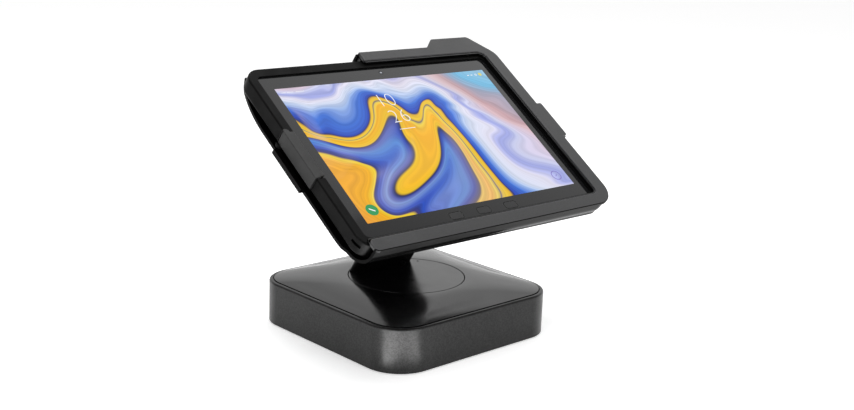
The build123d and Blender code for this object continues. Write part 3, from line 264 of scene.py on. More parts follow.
@dataclass(frozen=True)
class PictureFinish:
    """The lit screen: poured paint in folded bands, glowing under a gloss pane.

    The bands follow a field that grows with the distance from one corner and is bent by three sizes of
    noise, so that they fold like poured paint. Fine threads run along the bands, and a pale veil lies over
    some of them.

    Attributes:
        width: Width of the lit screen in mm.
        height: Height of the lit screen in mm.
        unit: One unit of the pattern in mm.
        centre: Where the bands start, in units from the screen's lower left corner.
        reach: How many units from there the last band starts.
        glow: Strength of the light.
        folds: Each size of noise: its scale, how far it bends and where it is read from, in units.
        slant: How much of a fold's shift goes up the screen.
        lanes: How many threads lie across the bands.
        threads: How far a thread pushes the bands aside, as a share of the field.
        shade_scale: How much finer the threads' own shade is.
        shade: The darkest and the lightest of that shade.
        veil: The most that the veil covers.
        veil_tone: Its colour.
        veil_scale: Its scale.
        veil_range: The values of its noise at which it starts and is full.
        bands: Place in the field and colour of each band, from the corner outwards.
    """

    name: str = "lit_marbled_screen"
    width: float = 217.5
    height: float = 135.9
    unit: float = 100.0
    centre: tuple[float, float] = (0.1, -0.2)
    reach: float = 3.1
    glow: float = 0.92
    folds: tuple[tuple[float, float, float], ...] = ((0.8, 1.4, 11.2), (1.7, 0.8, 16.6), (3.6, 0.2, 5.3))
    slant: float = 0.6
    lanes: float = 34.0
    threads: float = 0.03
    shade_scale: float = 4.0
    shade: tuple[float, float] = (0.84, 1.12)
    veil: float = 0.5
    veil_tone: str = "DCCBD0"
    veil_scale: float = 1.3
    veil_range: tuple[float, float] = (0.5, 0.72)
    bands: tuple[tuple[float, str], ...] = (
        (0.000, "FBE08A"), (0.085, "FAD94E"), (0.091, "7E7A48"), (0.097, "F5A21E"),
        (0.190, "F4A93C"), (0.262, "F7B312"), (0.285, "FADA2E"), (0.292, "3A2E6A"),
        (0.300, "24388C"), (0.318, "1D50C8"), (0.352, "4C8CDE"), (0.374, "1E44B4"),
        (0.386, "0E1138"), (0.392, "F8CB18"), (0.424, "F9B414"), (0.436, "FBE04A"),
        (0.441, "3A3F78"), (0.447, "F6CE22"), (0.468, "F0BE28"), (0.475, "141A4C"),
        (0.486, "1A43BC"), (0.520, "3A74DC"), (0.545, "9FBDF0"), (0.570, "D8E2F8"),
        (0.600, "E9E6F8"), (0.622, "9FA8E8"), (0.640, "D0D4F4"), (0.690, "E2C0C8"),
        (0.730, "C79FA6"), (0.790, "9FA4BC"), (0.860, "6FBCE4"), (1.000, "A6D2EC"),
    )

    def fold(self, tree: NodeTree, point: NodeSocket) -> NodeSocket:
        """Bend the pattern's plane by each size of noise in turn.

        Args:
            tree: The node tree.
            point: The place on the screen, in units.

        Returns:
            The bent place.
        """
        middle = (NOISE_MIDDLE, NOISE_MIDDLE, NOISE_MIDDLE)
        for scale, amount, shift in self.folds:
            elsewhere = (shift, shift * self.slant, 0)
            moved = put(tree, "VectorMath", {0: point, 1: elsewhere}, operation="ADD").outputs[0]
            noise = put(tree, "TexNoise", {"Vector": moved, "Scale": scale, "Detail": 0.0}).outputs["Color"]
            bend = put(tree, "VectorMath", {0: noise, 1: middle}, operation="SUBTRACT").outputs[0]
            strength = (amount, amount, 0)
            bend = put(tree, "VectorMath", {0: bend, 1: strength}, operation="MULTIPLY").outputs[0]
            point = put(tree, "VectorMath", {0: point, 1: bend}, operation="ADD").outputs[0]
        return point

    def banded(self, tree: NodeTree, share: NodeSocket) -> NodeSocket:
        """Colour the field by its bands.

        Args:
            tree: The node tree.
            share: The field, from 0 at the corner to 1.

        Returns:
            The bands' colour.
        """
        node = put(tree, "ValToRGB", {0: share})
        stops = node.color_ramp.elements
        while len(stops) > 1:
            stops.remove(stops[-1])
        stops[0].position = self.bands[0][0]
        stops[0].color = linear(self.bands[0][1])
        for place, code in self.bands[1:]:
            stops.new(place).color = linear(code)
        return node.outputs["Color"]

    def material(self) -> Material:
        """Return the picture as a node material that reads the piece's own UV map."""
        material, tree = fresh(self.name)
        place = put(tree, "TexCoord").outputs["UV"]
        size = (self.width / self.unit, self.height / self.unit, 1)
        point = put(tree, "VectorMath", {0: place, 1: size}, operation="MULTIPLY").outputs[0]
        point = self.fold(tree, point)
        centre = (*self.centre, 0)
        away = put(tree, "VectorMath", {0: point, 1: centre}, operation="DISTANCE").outputs["Value"]
        share = put(tree, "Math", {0: away, 1: 1 / self.reach}, operation="MULTIPLY").outputs[0]
        along = put(tree, "SeparateXYZ", {0: point}).outputs["X"]
        across = put(tree, "Math", {0: share, 1: self.lanes}, operation="MULTIPLY").outputs[0]
        lane = put(tree, "CombineXYZ", {0: across, 1: along}).outputs[0]
        thread = put(tree, "TexNoise", {"Vector": lane, "Scale": 1.0, "Detail": 3.0}).outputs["Fac"]
        thread = put(tree, "Math", {0: thread, 1: NOISE_MIDDLE}, operation="SUBTRACT").outputs[0]
        pushed = {0: thread, 1: self.threads, 2: share}
        share = put(tree, "Math", pushed, operation="MULTIPLY_ADD").outputs[0]
        colour = self.banded(tree, share)
        clouds = {"Vector": point, "Scale": self.veil_scale, "Detail": 2.0}
        cloud = put(tree, "TexNoise", clouds).outputs["Fac"]
        start, full = self.veil_range
        veil = {"Value": cloud, "From Min": start, "From Max": full, "To Max": self.veil}
        cloud = put(tree, "MapRange", veil).outputs[0]
        veiled = {0: cloud, 6: colour, 7: linear(self.veil_tone)}
        colour = put(tree, "Mix", veiled, data_type="RGBA").outputs[2]
        strands = {"Vector": lane, "Scale": self.shade_scale, "Detail": 2.0}
        fine = put(tree, "TexNoise", strands).outputs["Fac"]
        dark, light = self.shade
        shade = {"Value": fine, **NOISE_RANGE, "To Min": dark, "To Max": light}
        fine = put(tree, "MapRange", shade).outputs[0]
        shaded = {0: 1.0, 6: colour, 7: fine}
        colour = put(tree, "Mix", shaded, data_type="RGBA", blend_type="MULTIPLY").outputs[2]
        pane = {
            "Base Color": (0, 0, 0, 1),
            "Roughness": 0.05,
            "Specular IOR Level": 0.25,
            "Emission Color": colour,
            "Emission Strength": self.glow,
        }
        shader = put(tree, "BsdfPrincipled", pane)
        put(tree, "OutputMaterial", {"Surface": shader.outputs[0]})
        return material


@dataclass(frozen=True)
class Finishes:
    """The finishes of the whole station, named for what each one really is."""

    # Powder-coated zinc with metal flakes: a dark grey that lights up softly where it faces a lamp
    base_paint: Finish = Finish(
        "speckled_powder_coat", "202020", 0.4, 0.5, specular=0.34, coat=0.1, coat_roughness=0.25,
        texture=Texture.SPECKLED, grain=0.7, relief=0.014, contrast=0.38,
    )
    # Piano-black ABS, moulded and polished: it mirrors the neck and shades to grey towards its edges
    cover_black: Finish = Finish(
        "piano_black_cover", "050506", 0.17, ior=1.45, relief=0.0006, contrast=0.05, marks=0.03, grain=3.0
    )
    # The same plastic on the disc: a slightly duller mirror, which sets it off from the cover
    disc_black: Finish = Finish(
        "piano_black_disc", "060607", 0.22, ior=1.45, relief=0.0006, contrast=0.05, marks=0.03, grain=3.0
    )
    # Baked enamel on the neck: black, a little softer than the cover
    neck_black: Finish = Finish(
        "black_neck_enamel", "040404", 0.26, specular=0.2, relief=0.002, contrast=0.06
    )
    # Fine-textured paint on the pressed frame: dark grey with a dry sheen
    frame_paint: Finish = Finish("textured_frame_paint", "313132", 0.36, relief=0.016, contrast=0.3)
    # The same paint on the tray, smoother and darker on its drawn walls
    tray_paint: Finish = Finish(
        "smooth_tray_paint", "050505", 0.18, specular=0.06, relief=0.001, contrast=0.08
    )
    # Gloss-black moulded liner round the window: black, with a thin light line where an edge turns
    liner_gloss: Finish = Finish("gloss_liner", "020202", 0.12, relief=0.0004, contrast=0.05, grain=3.0)
    # Rubber case: matt black that goes grey where it is rubbed
    case_rubber: Finish = Finish(
        "case_rubber", "060606", 0.5, specular=0.08, relief=0.006, contrast=0.16, marks=0.1
    )
    # The thinner rubber of the port flap: dark grey with a soft sheen, lighter than the case
    flap_rubber: Finish = Finish(
        "flap_rubber", "1E1E1E", 0.5, specular=0.45, relief=0.008, contrast=0.16, marks=0.08
    )
    # Polycarbonate from a spark-eroded mould: an even charcoal with a fine grain
    case_plastic: Finish = Finish("case_back_polycarbonate", "1E1E1F", 0.48, relief=0.015, contrast=0.14)
    # Chemically hardened cover glass over its black printed border: clear reflections on black
    glass: Finish = Finish(
        "printed_cover_glass", "161617", 0.07, ior=1.52, relief=0.0, contrast=0.03, marks=0.02, grain=4.0
    )
    # Moulded key caps in the glass: as black as the border, with a softer light on them
    key_plastic: Finish = Finish("front_key_plastic", "141415", 0.3, relief=0.002, contrast=0.06)
    # Moulded keys on the tablet's edge: satin charcoal, lighter than the rubber round them
    edge_key: Finish = Finish("edge_key_plastic", "202021", 0.4, relief=0.004, contrast=0.1)
    # Moulded tub of the tablet: plain satin black
    tablet_body: Finish = Finish("tablet_housing_plastic", "161617", 0.4, relief=0.004)
    # Foamed rubber: dead matt, with open pores
    mat_rubber: Finish = Finish("foamed_rubber_mat", "141414", 0.85, relief=0.06, contrast=0.25, grain=1.6)
    # Soft moulded pads: matt black, closed where the mat is open
    pad_rubber: Finish = Finish("cradle_pad_rubber", "1A1A1A", 0.8, relief=0.03, contrast=0.2, grain=1.0)
    # Milled acetal: smooth black with a waxy sheen
    guide_plastic: Finish = Finish("acetal_guides", "1B1B1C", 0.35, relief=0.003)
    # ABS with a leather grain: matt charcoal
    housing: Finish = Finish("textured_abs_housing", "202021", 0.55, relief=0.02, contrast=0.16)
    # Zinc-plated steel: pale grey, drawn out in fine lines
    steel: Finish = Finish(
        "zinc_plated_steel", "A4A5A6", 0.34, 1.0, texture=Texture.BRUSHED, grain=2.4, relief=0.004
    )
    # Blued spring steel: a darker metal with a cold tint
    spring: Finish = Finish(
        "blued_spring_steel", "6E7076", 0.3, 1.0, texture=Texture.BRUSHED, grain=2.0, relief=0.003
    )
    # Black-oxide screws: dark metal that still glints
    screw: Finish = Finish("black_oxide_screws", "4A4A4C", 0.36, 1.0, relief=0.004, contrast=0.15)
    # Iron cast in sand: rough and dull, with a coarse grain
    iron: Finish = Finish("grey_cast_iron", "4E4E50", 0.66, 0.8, relief=0.08, contrast=0.25, grain=1.4)
    # Sintered bronze: brown gold, dulled by its pores
    bronze: Finish = Finish("sintered_bronze", "9C7340", 0.45, 1.0, contrast=0.2)
    # Die-cast aluminium: pale satin grey, a little cloudy
    alloy: Finish = Finish("die_cast_aluminium", "9EA0A2", 0.46, 1.0, relief=0.03, contrast=0.14, grain=1.2)
    # Green lacquer over copper tracks: satin, with an uneven depth of green
    board: Finish = Finish("green_solder_mask", "12502C", 0.35, relief=0.01, contrast=0.3, grain=1.6)
    # Nickel-plated sheet of the sockets: bright and a little warm
    socket: Finish = Finish(
        "nickel_plated_shell", "B2B2B0", 0.28, 1.0, texture=Texture.BRUSHED, grain=2.0, relief=0.003,
        contrast=0.08,
    )
    # Moulded nylon: plain matt black
    socket_black: Finish = Finish("black_nylon_insert", "101011", 0.5, relief=0.006)
    # Bright chrome: close to a mirror
    lock_chrome: Finish = Finish("bright_chrome_barrel", "C8C9CB", 0.12, 1.0, relief=0.001, contrast=0.04)
    # Laminated foil pouch: dull metal grey, soft and uneven
    battery: Finish = Finish("battery_pouch_film", "3A3B40", 0.4, 0.6, contrast=0.2)
    # Extruded jacket of soft PVC: satin black
    cable: Finish = Finish("cable_jacket", "121212", 0.5, relief=0.01)
    # Painted frame of the display panel: dark satin grey
    panel: Finish = Finish("panel_frame", "2B2C2E", 0.4, relief=0.003)
    # Anodised barrel behind the glass: a deep blue-black ring
    camera: Finish = Finish("camera_barrel", "0B0B10", 0.15, relief=0.0005, grain=3.0)
    # Coated lens: coloured pale grey, a painted glint that stands for the small pale point of light on it
    lens: Finish = Finish("lens_painted_glint", "A9ADB4", 0.1, relief=0.0, grain=3.0)
    # Lit pixels: flat colour that glows and takes no shade
    white_light: Finish = Finish(
        "white_screen_light", "F6F6FA", 0.2, relief=0.0, contrast=0.0, emission=0.95
    )
    green_light: Finish = Finish("green_screen_light", "22A45A", 0.2, relief=0.0, contrast=0.0, emission=0.8)
    pale_light: Finish = Finish("pale_screen_light", "8F86D8", 0.2, relief=0.0, contrast=0.0, emission=0.8)
    yellow_light: Finish = Finish(
        "yellow_screen_light", "E6DC6A", 0.2, relief=0.0, contrast=0.0, emission=0.85
    )


class Bench:
    """Shared hand tools: selection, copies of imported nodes, and the place of a finished piece."""

    @staticmethod
    def clear() -> None:
        """Leave edit mode and deselect everything."""
        if bpy.context.object and bpy.context.object.mode != "OBJECT":
            bpy.ops.object.mode_set(mode="OBJECT")
        bpy.ops.object.select_all(action="DESELECT")

    @staticmethod
    def take(piece: Object) -> None:
        """Make one piece the only selected and active one.

        Args:
            piece: The piece.
        """
        Bench.clear()
        piece.select_set(True)
        bpy.context.view_layer.objects.active = piece

    @staticmethod
    def edit(piece: Object, action: str = "SELECT") -> None:
        """Open one piece in edit mode.

        Args:
            piece: The piece.
            action: SELECT for all of its mesh, or DESELECT for none of it.
        """
        Bench.take(piece)
        bpy.ops.object.mode_set(mode="EDIT")
        bpy.ops.mesh.select_all(action=action)

    @staticmethod
    def apply(piece: Object) -> None:
        """Apply every modifier of a piece.

        Args:
            piece: The piece.
        """
        Bench.take(piece)
        for modifier in list(piece.modifiers):
            bpy.ops.object.modifier_apply(modifier=modifier.name)

    @staticmethod
    def bevel(piece: Object, width: float, segments: int, angle: float) -> None:
        """Round a piece's sharp edges.

        Args:
            piece: The piece.
            width: Width of the rounding in mm.
            segments: Steps across the rounding.
            angle: Least angle in degrees between faces for an edge to count as sharp.
        """
        modifier = piece.modifiers.new("edge", "BEVEL")
        modifier.width = width * MM
        modifier.segments = segments
        modifier.limit_method = "ANGLE"
        modifier.angle_limit = math.radians(angle)
        modifier.use_clamp_overlap = True
        Bench.apply(piece)

    @staticmethod
    def smooth(piece: Object, angle: float) -> None:
        """Shade a piece smooth, with flat faces kept flat.

        Args:
            piece: The piece.
            angle: Edges sharper than this many degrees stay sharp.
        """
        Bench.take(piece)
        bpy.ops.object.shade_smooth_by_angle(angle=math.radians(angle))
        modifier = piece.modifiers.new("flat_faces", "WEIGHTED_NORMAL")
        modifier.keep_sharp = True
        Bench.apply(piece)

    @staticmethod
    def settle(piece: Object, on_screen: bool = False) -> None:
        """Put a piece's place into its mesh.

        Args:
            piece: The piece, modelled in metres.
            on_screen: Whether it was modelled on the screen plane.
        """
        if piece.type != "MESH":
            Bench.take(piece)
            bpy.ops.object.convert(target="MESH")
        # The basis matrix follows the piece's place and scale at once
        place = piece.matrix_basis.copy()
        if on_screen:
            place = screen_matrix() @ place
        piece.data.transform(place)
        piece.matrix_basis = Matrix.Identity(4)

    @staticmethod
    def dress(
        piece: Object,
        finish: Finish | PictureFinish,
        body: str,
        slot: str,
        stands_for: tuple[str, ...] = (),
    ) -> Object:
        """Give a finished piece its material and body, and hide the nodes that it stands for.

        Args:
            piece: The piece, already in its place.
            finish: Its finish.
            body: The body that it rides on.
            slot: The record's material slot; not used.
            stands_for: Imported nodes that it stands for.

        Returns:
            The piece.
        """
        piece.data.materials.clear()
        piece.data.materials.append(finish.material())
        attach(piece, body)
        if stands_for:
            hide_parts(*stands_for)
        return piece

    @staticmethod
    def merged_copy(node: Object, weld: float, flat: float) -> Object:
        """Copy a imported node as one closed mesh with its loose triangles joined.

        Args:
            node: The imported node.
            weld: Corners nearer than this in mm become one.
            flat: Faces within this many degrees of each other become one.

        Returns:
            The copy, named after the node and free of its body.
        """
        data = node.data.copy()
        piece = bpy.data.objects.new(node.name + "_dressed", data)
        bpy.context.scene.collection.objects.link(piece)
        Bench.take(piece)
        if data.has_custom_normals:
            bpy.ops.mesh.customdata_custom_splitnormals_clear()
        Bench.edit(piece)
        bpy.ops.mesh.remove_doubles(threshold=weld * MM)
        bpy.ops.mesh.dissolve_limited(angle_limit=math.radians(flat))
        bpy.ops.object.mode_set(mode="OBJECT")
        return piece


@dataclass
class PackedPieces:
    """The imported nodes, each with its finish, and copies of those that need smooth or softened edges."""

    frame: dict
    finishes: Finishes
    # A copy's corners and faces are merged within this many mm and degrees
    weld: float = 0.002
    flat: float = 0.3
    # Steps of a rounded edge, and the angles from which an edge is rounded and is kept sharp in shading
    edge_steps: int = 2
    edge_angle: float = 40.0
    shade_angle: float = 28.0
    # The port flap and the tray's left tab start at these places across, and all beyond moves in by this
    flap_side: float = -127.2
    flap_slimming: float = 1.3
    tray_tab_side: float = -131.0
    tray_tab_slimming: float = 1.7
    # Below this place up the screen the tray's outer wall moves in, and the frame's edge gets black gloss as
    # painted shade
    low_wall: float = -75.0
    low_inset: float = 1.4
    # The least that a face there looks down the screen, on the wall and on the edge, and the most that a
    # face of the wall looks out of the screen
    wall_down: float = 0.05
    edge_down: float = 0.3
    wall_proud: float = 0.5
    # Height of the cover's edge, to within the level; how far it rises, and over what width the rise fades
    cover_edge: float = 35.4
    level: float = 0.02
    cover_raise: float = 0.55
    cover_blend: float = 36.0
    # The base's rim above its foot drops by this, and so stands just lower than the cover's edge
    rim_foot: float = 34.0
    rim_drop: float = 0.45
    # The disc's top above its foot drops to the cover's level, and the disc narrows to this share
    disc_foot: float = 42.0
    disc_drop: float = 0.3
    disc_share: float = 0.991
    # How far the faces of the hinge washers and of the front keys draw in
    washer_gap: float = 0.02
    key_gap: float = 0.14
    # The nodes that are copied, by the width of their rounded edges, or 0 for smooth shading alone
    rounded: dict[float, tuple[str, ...]] = field(
        default_factory=lambda: {
            0.0: (
                "base_shell", "top_cover", "swivel_disc", "neck_front_cover", "neck_rear_cover", "neck_core",
                "hinge_washers", "rear_housing", "power_key", "volume_key",
            ),
            0.1: ("usb_c_port",),
            0.12: ("cover_glass", "usb_a_ports", "video_port"),
            0.15: ("front_key_left", "front_key_middle", "front_key_right", "ethernet_port"),
            0.2: ("lock_barrel", "power_inlet"),
            0.25: ("frame_liner",),
            0.3: (
                "hinge_pin", "hinge_nut", "back_tray", "port_flap", "tray_pads", "side_guides",
                "dock_connector",
            ),
            0.4: ("hinge_bracket", "front_frame", "case_back", "anti_slip_mat"),
            0.45: ("case_bumper",),
        }
    )

    def finish_of(self, node: str) -> Finish:
        """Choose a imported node's finish.

        Args:
            node: The node's name.

        Returns:
            Its finish, which is zinc-plated steel where the name says nothing else.
        """
        f = self.finishes
        table = {
            "base_shell": f.base_paint,
            "top_cover": f.cover_black,
            "swivel_disc": f.disc_black,
            "anti_slip_mat": f.mat_rubber,
            "ballast_weight": f.iron,
            "swivel_bush": f.bronze,
            "spring_washer": f.spring,
            "hinge_washers": f.spring,
            "dock_board": f.board,
            "cradle_board": f.board,
            "tablet_board": f.board,
            "power_inlet": f.socket_black,
            "dock_connector": f.socket_black,
            "neck_core": f.alloy,
            "neck_front_cover": f.neck_black,
            "neck_rear_cover": f.neck_black,
            "neck_harness": f.cable,
            "back_tray": f.tray_paint,
            "rear_housing": f.housing,
            "front_frame": f.frame_paint,
            "frame_liner": f.liner_gloss,
            "side_guides": f.guide_plastic,
            "tray_pads": f.pad_rubber,
            "lock_barrel": f.lock_chrome,
            "tablet_housing": f.tablet_body,
            "display_panel": f.panel,
            "cover_glass": f.glass,
            "front_camera": f.camera,
            "tablet_battery": f.battery,
            "case_bumper": f.case_rubber,
            "case_back": f.case_plastic,
            "port_flap": f.flap_rubber,
            "power_key": f.edge_key,
            "volume_key": f.edge_key,
        }
        if node in table:
            return table[node]
        if node.startswith("front_key"):
            return f.key_plastic
        if node.endswith("_screws"):
            return f.screw
        if node.endswith(("_port", "_ports")):
            return f.socket
        return f.steel

    def body_of(self, node: str) -> str:
        """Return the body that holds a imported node, given by name."""
        bodies = self.frame["record"]["behaviour"]["bodies"]
        return next(body for body, members in bodies.items() if node in members)

    def slot_of(self, node: str) -> str:
        """Return the record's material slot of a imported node, given by name."""
        return next(s["material_slot"] for s in self.frame["record"]["subparts"] if s["node"] == node)

    def shift(
        self,
        piece: Object,
        chosen: Callable[[Vector], bool],
        move: tuple[float, float, float],
        blend: float = 0.0,
    ) -> None:
        """Move a part of a piece in edit mode.

        Args:
            piece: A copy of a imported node.
            chosen: Says of a place in mm whether its vertex moves.
            move: How far it moves, in mm.
            blend: How far in mm the move fades out over the vertices around, or 0.
        """
        Bench.edit(piece, "DESELECT")
        bpy.ops.mesh.select_mode(type="VERT")
        bpy.ops.object.mode_set(mode="OBJECT")
        for vertex in piece.data.vertices:
            vertex.select = chosen(vertex.co / MM)
        bpy.ops.object.mode_set(mode="EDIT")
        bpy.ops.transform.translate(
            value=[c * MM for c in move],
            use_proportional_edit=blend > 0,
            proportional_edit_falloff="LINEAR",
            proportional_size=max(blend, 1.0) * MM,
        )
        bpy.ops.object.mode_set(mode="OBJECT")

    def loosen(self, piece: Object, gap: float) -> None:
        """Draw a piece's faces in, which opens the gap round it.

        Args:
            piece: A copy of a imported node.
            gap: How far its faces draw in, in mm.
        """
        Bench.edit(piece)
        bpy.ops.transform.shrink_fatten(value=-gap * MM)
        bpy.ops.object.mode_set(mode="OBJECT")

    def narrow(self, piece: Object, share: float) -> None:
        """Narrow a piece round the swivel's axis.

        Args:
            piece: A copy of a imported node.
            share: Its new width as a share of the old.
        """
        Bench.edit(piece)
        bpy.ops.transform.resize(value=(share, share, 1), center_override=(0, 0, 0))
        bpy.ops.object.mode_set(mode="OBJECT")

    def reshape(self, piece: Object, node: str) -> None:
        """Shift the few places where the photograph shows more than the solids do.

        Args:
            piece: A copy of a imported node.
            node: The node's name.
        """
        if node == "port_flap":
            self.shift(piece, lambda co: co.x < self.flap_side, (self.flap_slimming, 0, 0))
        if node == "back_tray":
            self.shift(piece, lambda co: co.x < self.tray_tab_side, (self.tray_tab_slimming, 0, 0))
            self.inset_low_wall(piece)
        if node == "base_shell":
            self.shift(piece, lambda co: co.z > self.rim_foot, (0, 0, -self.rim_drop))
        if node == "top_cover":
            self.shift(
                piece,
                lambda co: abs(co.z - self.cover_edge) < self.level,
                (0, 0, self.cover_raise),
                self.cover_blend,
            )
        if node == "swivel_disc":
            # Level with the cover and a little smaller, so that the groove round it shows on every side
            self.shift(piece, lambda co: co.z > self.disc_foot, (0, 0, -self.disc_drop))
            self.narrow(piece, self.disc_share)
        if node == "hinge_washers":
            self.loosen(piece, self.washer_gap)
        if node.startswith("front_key"):
            self.loosen(piece, self.key_gap)

    def low_faces(self, piece: Object, down: float, proud: float = 1.0) -> list[MeshPolygon]:
        """Find the outer faces below the low wall's place on the screen plane.

        Args:
            piece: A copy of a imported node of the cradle.
            down: The least that a face's normal points down the screen.
            proud: The most that it points out of the screen or into it, where 1 allows any.

        Returns:
            The faces.
        """
        back = screen_matrix().inverted()
        turn = back.to_3x3()
        found = []
        for polygon in piece.data.polygons:
            place = back @ polygon.center
            normal = turn @ polygon.normal
            if place.y < self.low_wall * MM and normal.y < -down and abs(normal.z) < proud:
                found.append(polygon)
        return found

    def inset_low_wall(self, piece: Object) -> None:
        """Draw the tray's low outer wall in under the frame, which leaves a dark groove between them.

        Args:
            piece: The copy of the tray.
        """
        Bench.edit(piece, "DESELECT")
        bpy.ops.mesh.select_mode(type="FACE")
        bpy.ops.object.mode_set(mode="OBJECT")
        for polygon in self.low_faces(piece, self.wall_down, self.wall_proud):
            polygon.select = True
        bpy.ops.object.mode_set(mode="EDIT")
        bpy.ops.transform.shrink_fatten(value=-self.low_inset * MM)
        bpy.ops.object.mode_set(mode="OBJECT")

    def paint_low_edge_shade(self, piece: Object) -> None:
        """Give the frame's low outer edge, the faces that look down the screen, the tray's black gloss:
        painted shade on the side that turns from the light.

        Args:
            piece: The copy of the frame.
        """
        piece.data.materials.append(self.finishes.tray_paint.material())
        for polygon in self.low_faces(piece, self.edge_down):
            polygon.material_index = 1

    def build(self) -> list[Object]:
        """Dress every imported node, and replace the listed ones by smooth copies.

        Returns:
            The nodes that show as they are, and the copies of the others.
        """
        pieces = []
        widths = {name: width for width, names in self.rounded.items() for name in names}
        for name, node in self.frame["nodes"].items():
            finish = self.finish_of(name)
            node.data.materials.clear()
            node.data.materials.append(finish.material())
            if name not in widths:
                pieces.append(node)
                continue
            piece = Bench.merged_copy(node, self.weld, self.flat)
            self.reshape(piece, name)
            if widths[name]:
                Bench.bevel(piece, widths[name], self.edge_steps, self.edge_angle)
            Bench.smooth(piece, self.shade_angle)
            Bench.dress(piece, finish, self.body_of(name), self.slot_of(name), (name,))
            # The frame's downward low faces get black gloss as painted shade
            if name == "front_frame":
                self.paint_low_edge_shade(piece)
            pieces.append(piece)
        return pieces


class Light(Enum):
    """The colours of the screen's signs, each with the name of its finish."""

    WHITE = "white_light"
    GREEN = "green_light"
    PALE = "pale_light"
    YELLOW = "yellow_light"


@dataclass(frozen=True)
class Dot:
    """A round sign on the screen, or a ring where it has a hole; place and radii in mm."""

    name: str
    place: tuple[float, float]
    radius: float
    light: Light
    hole: float = 0.0


@dataclass(frozen=True)
class Bar:
    """A short bar on the screen; place and size in mm, turn in degrees, rise in sheets over the picture."""

    name: str
    place: tuple[float, float]
    size: tuple[float, float]
    light: Light = Light.WHITE
    turn: float = 0.0
    rise: float = 2.0


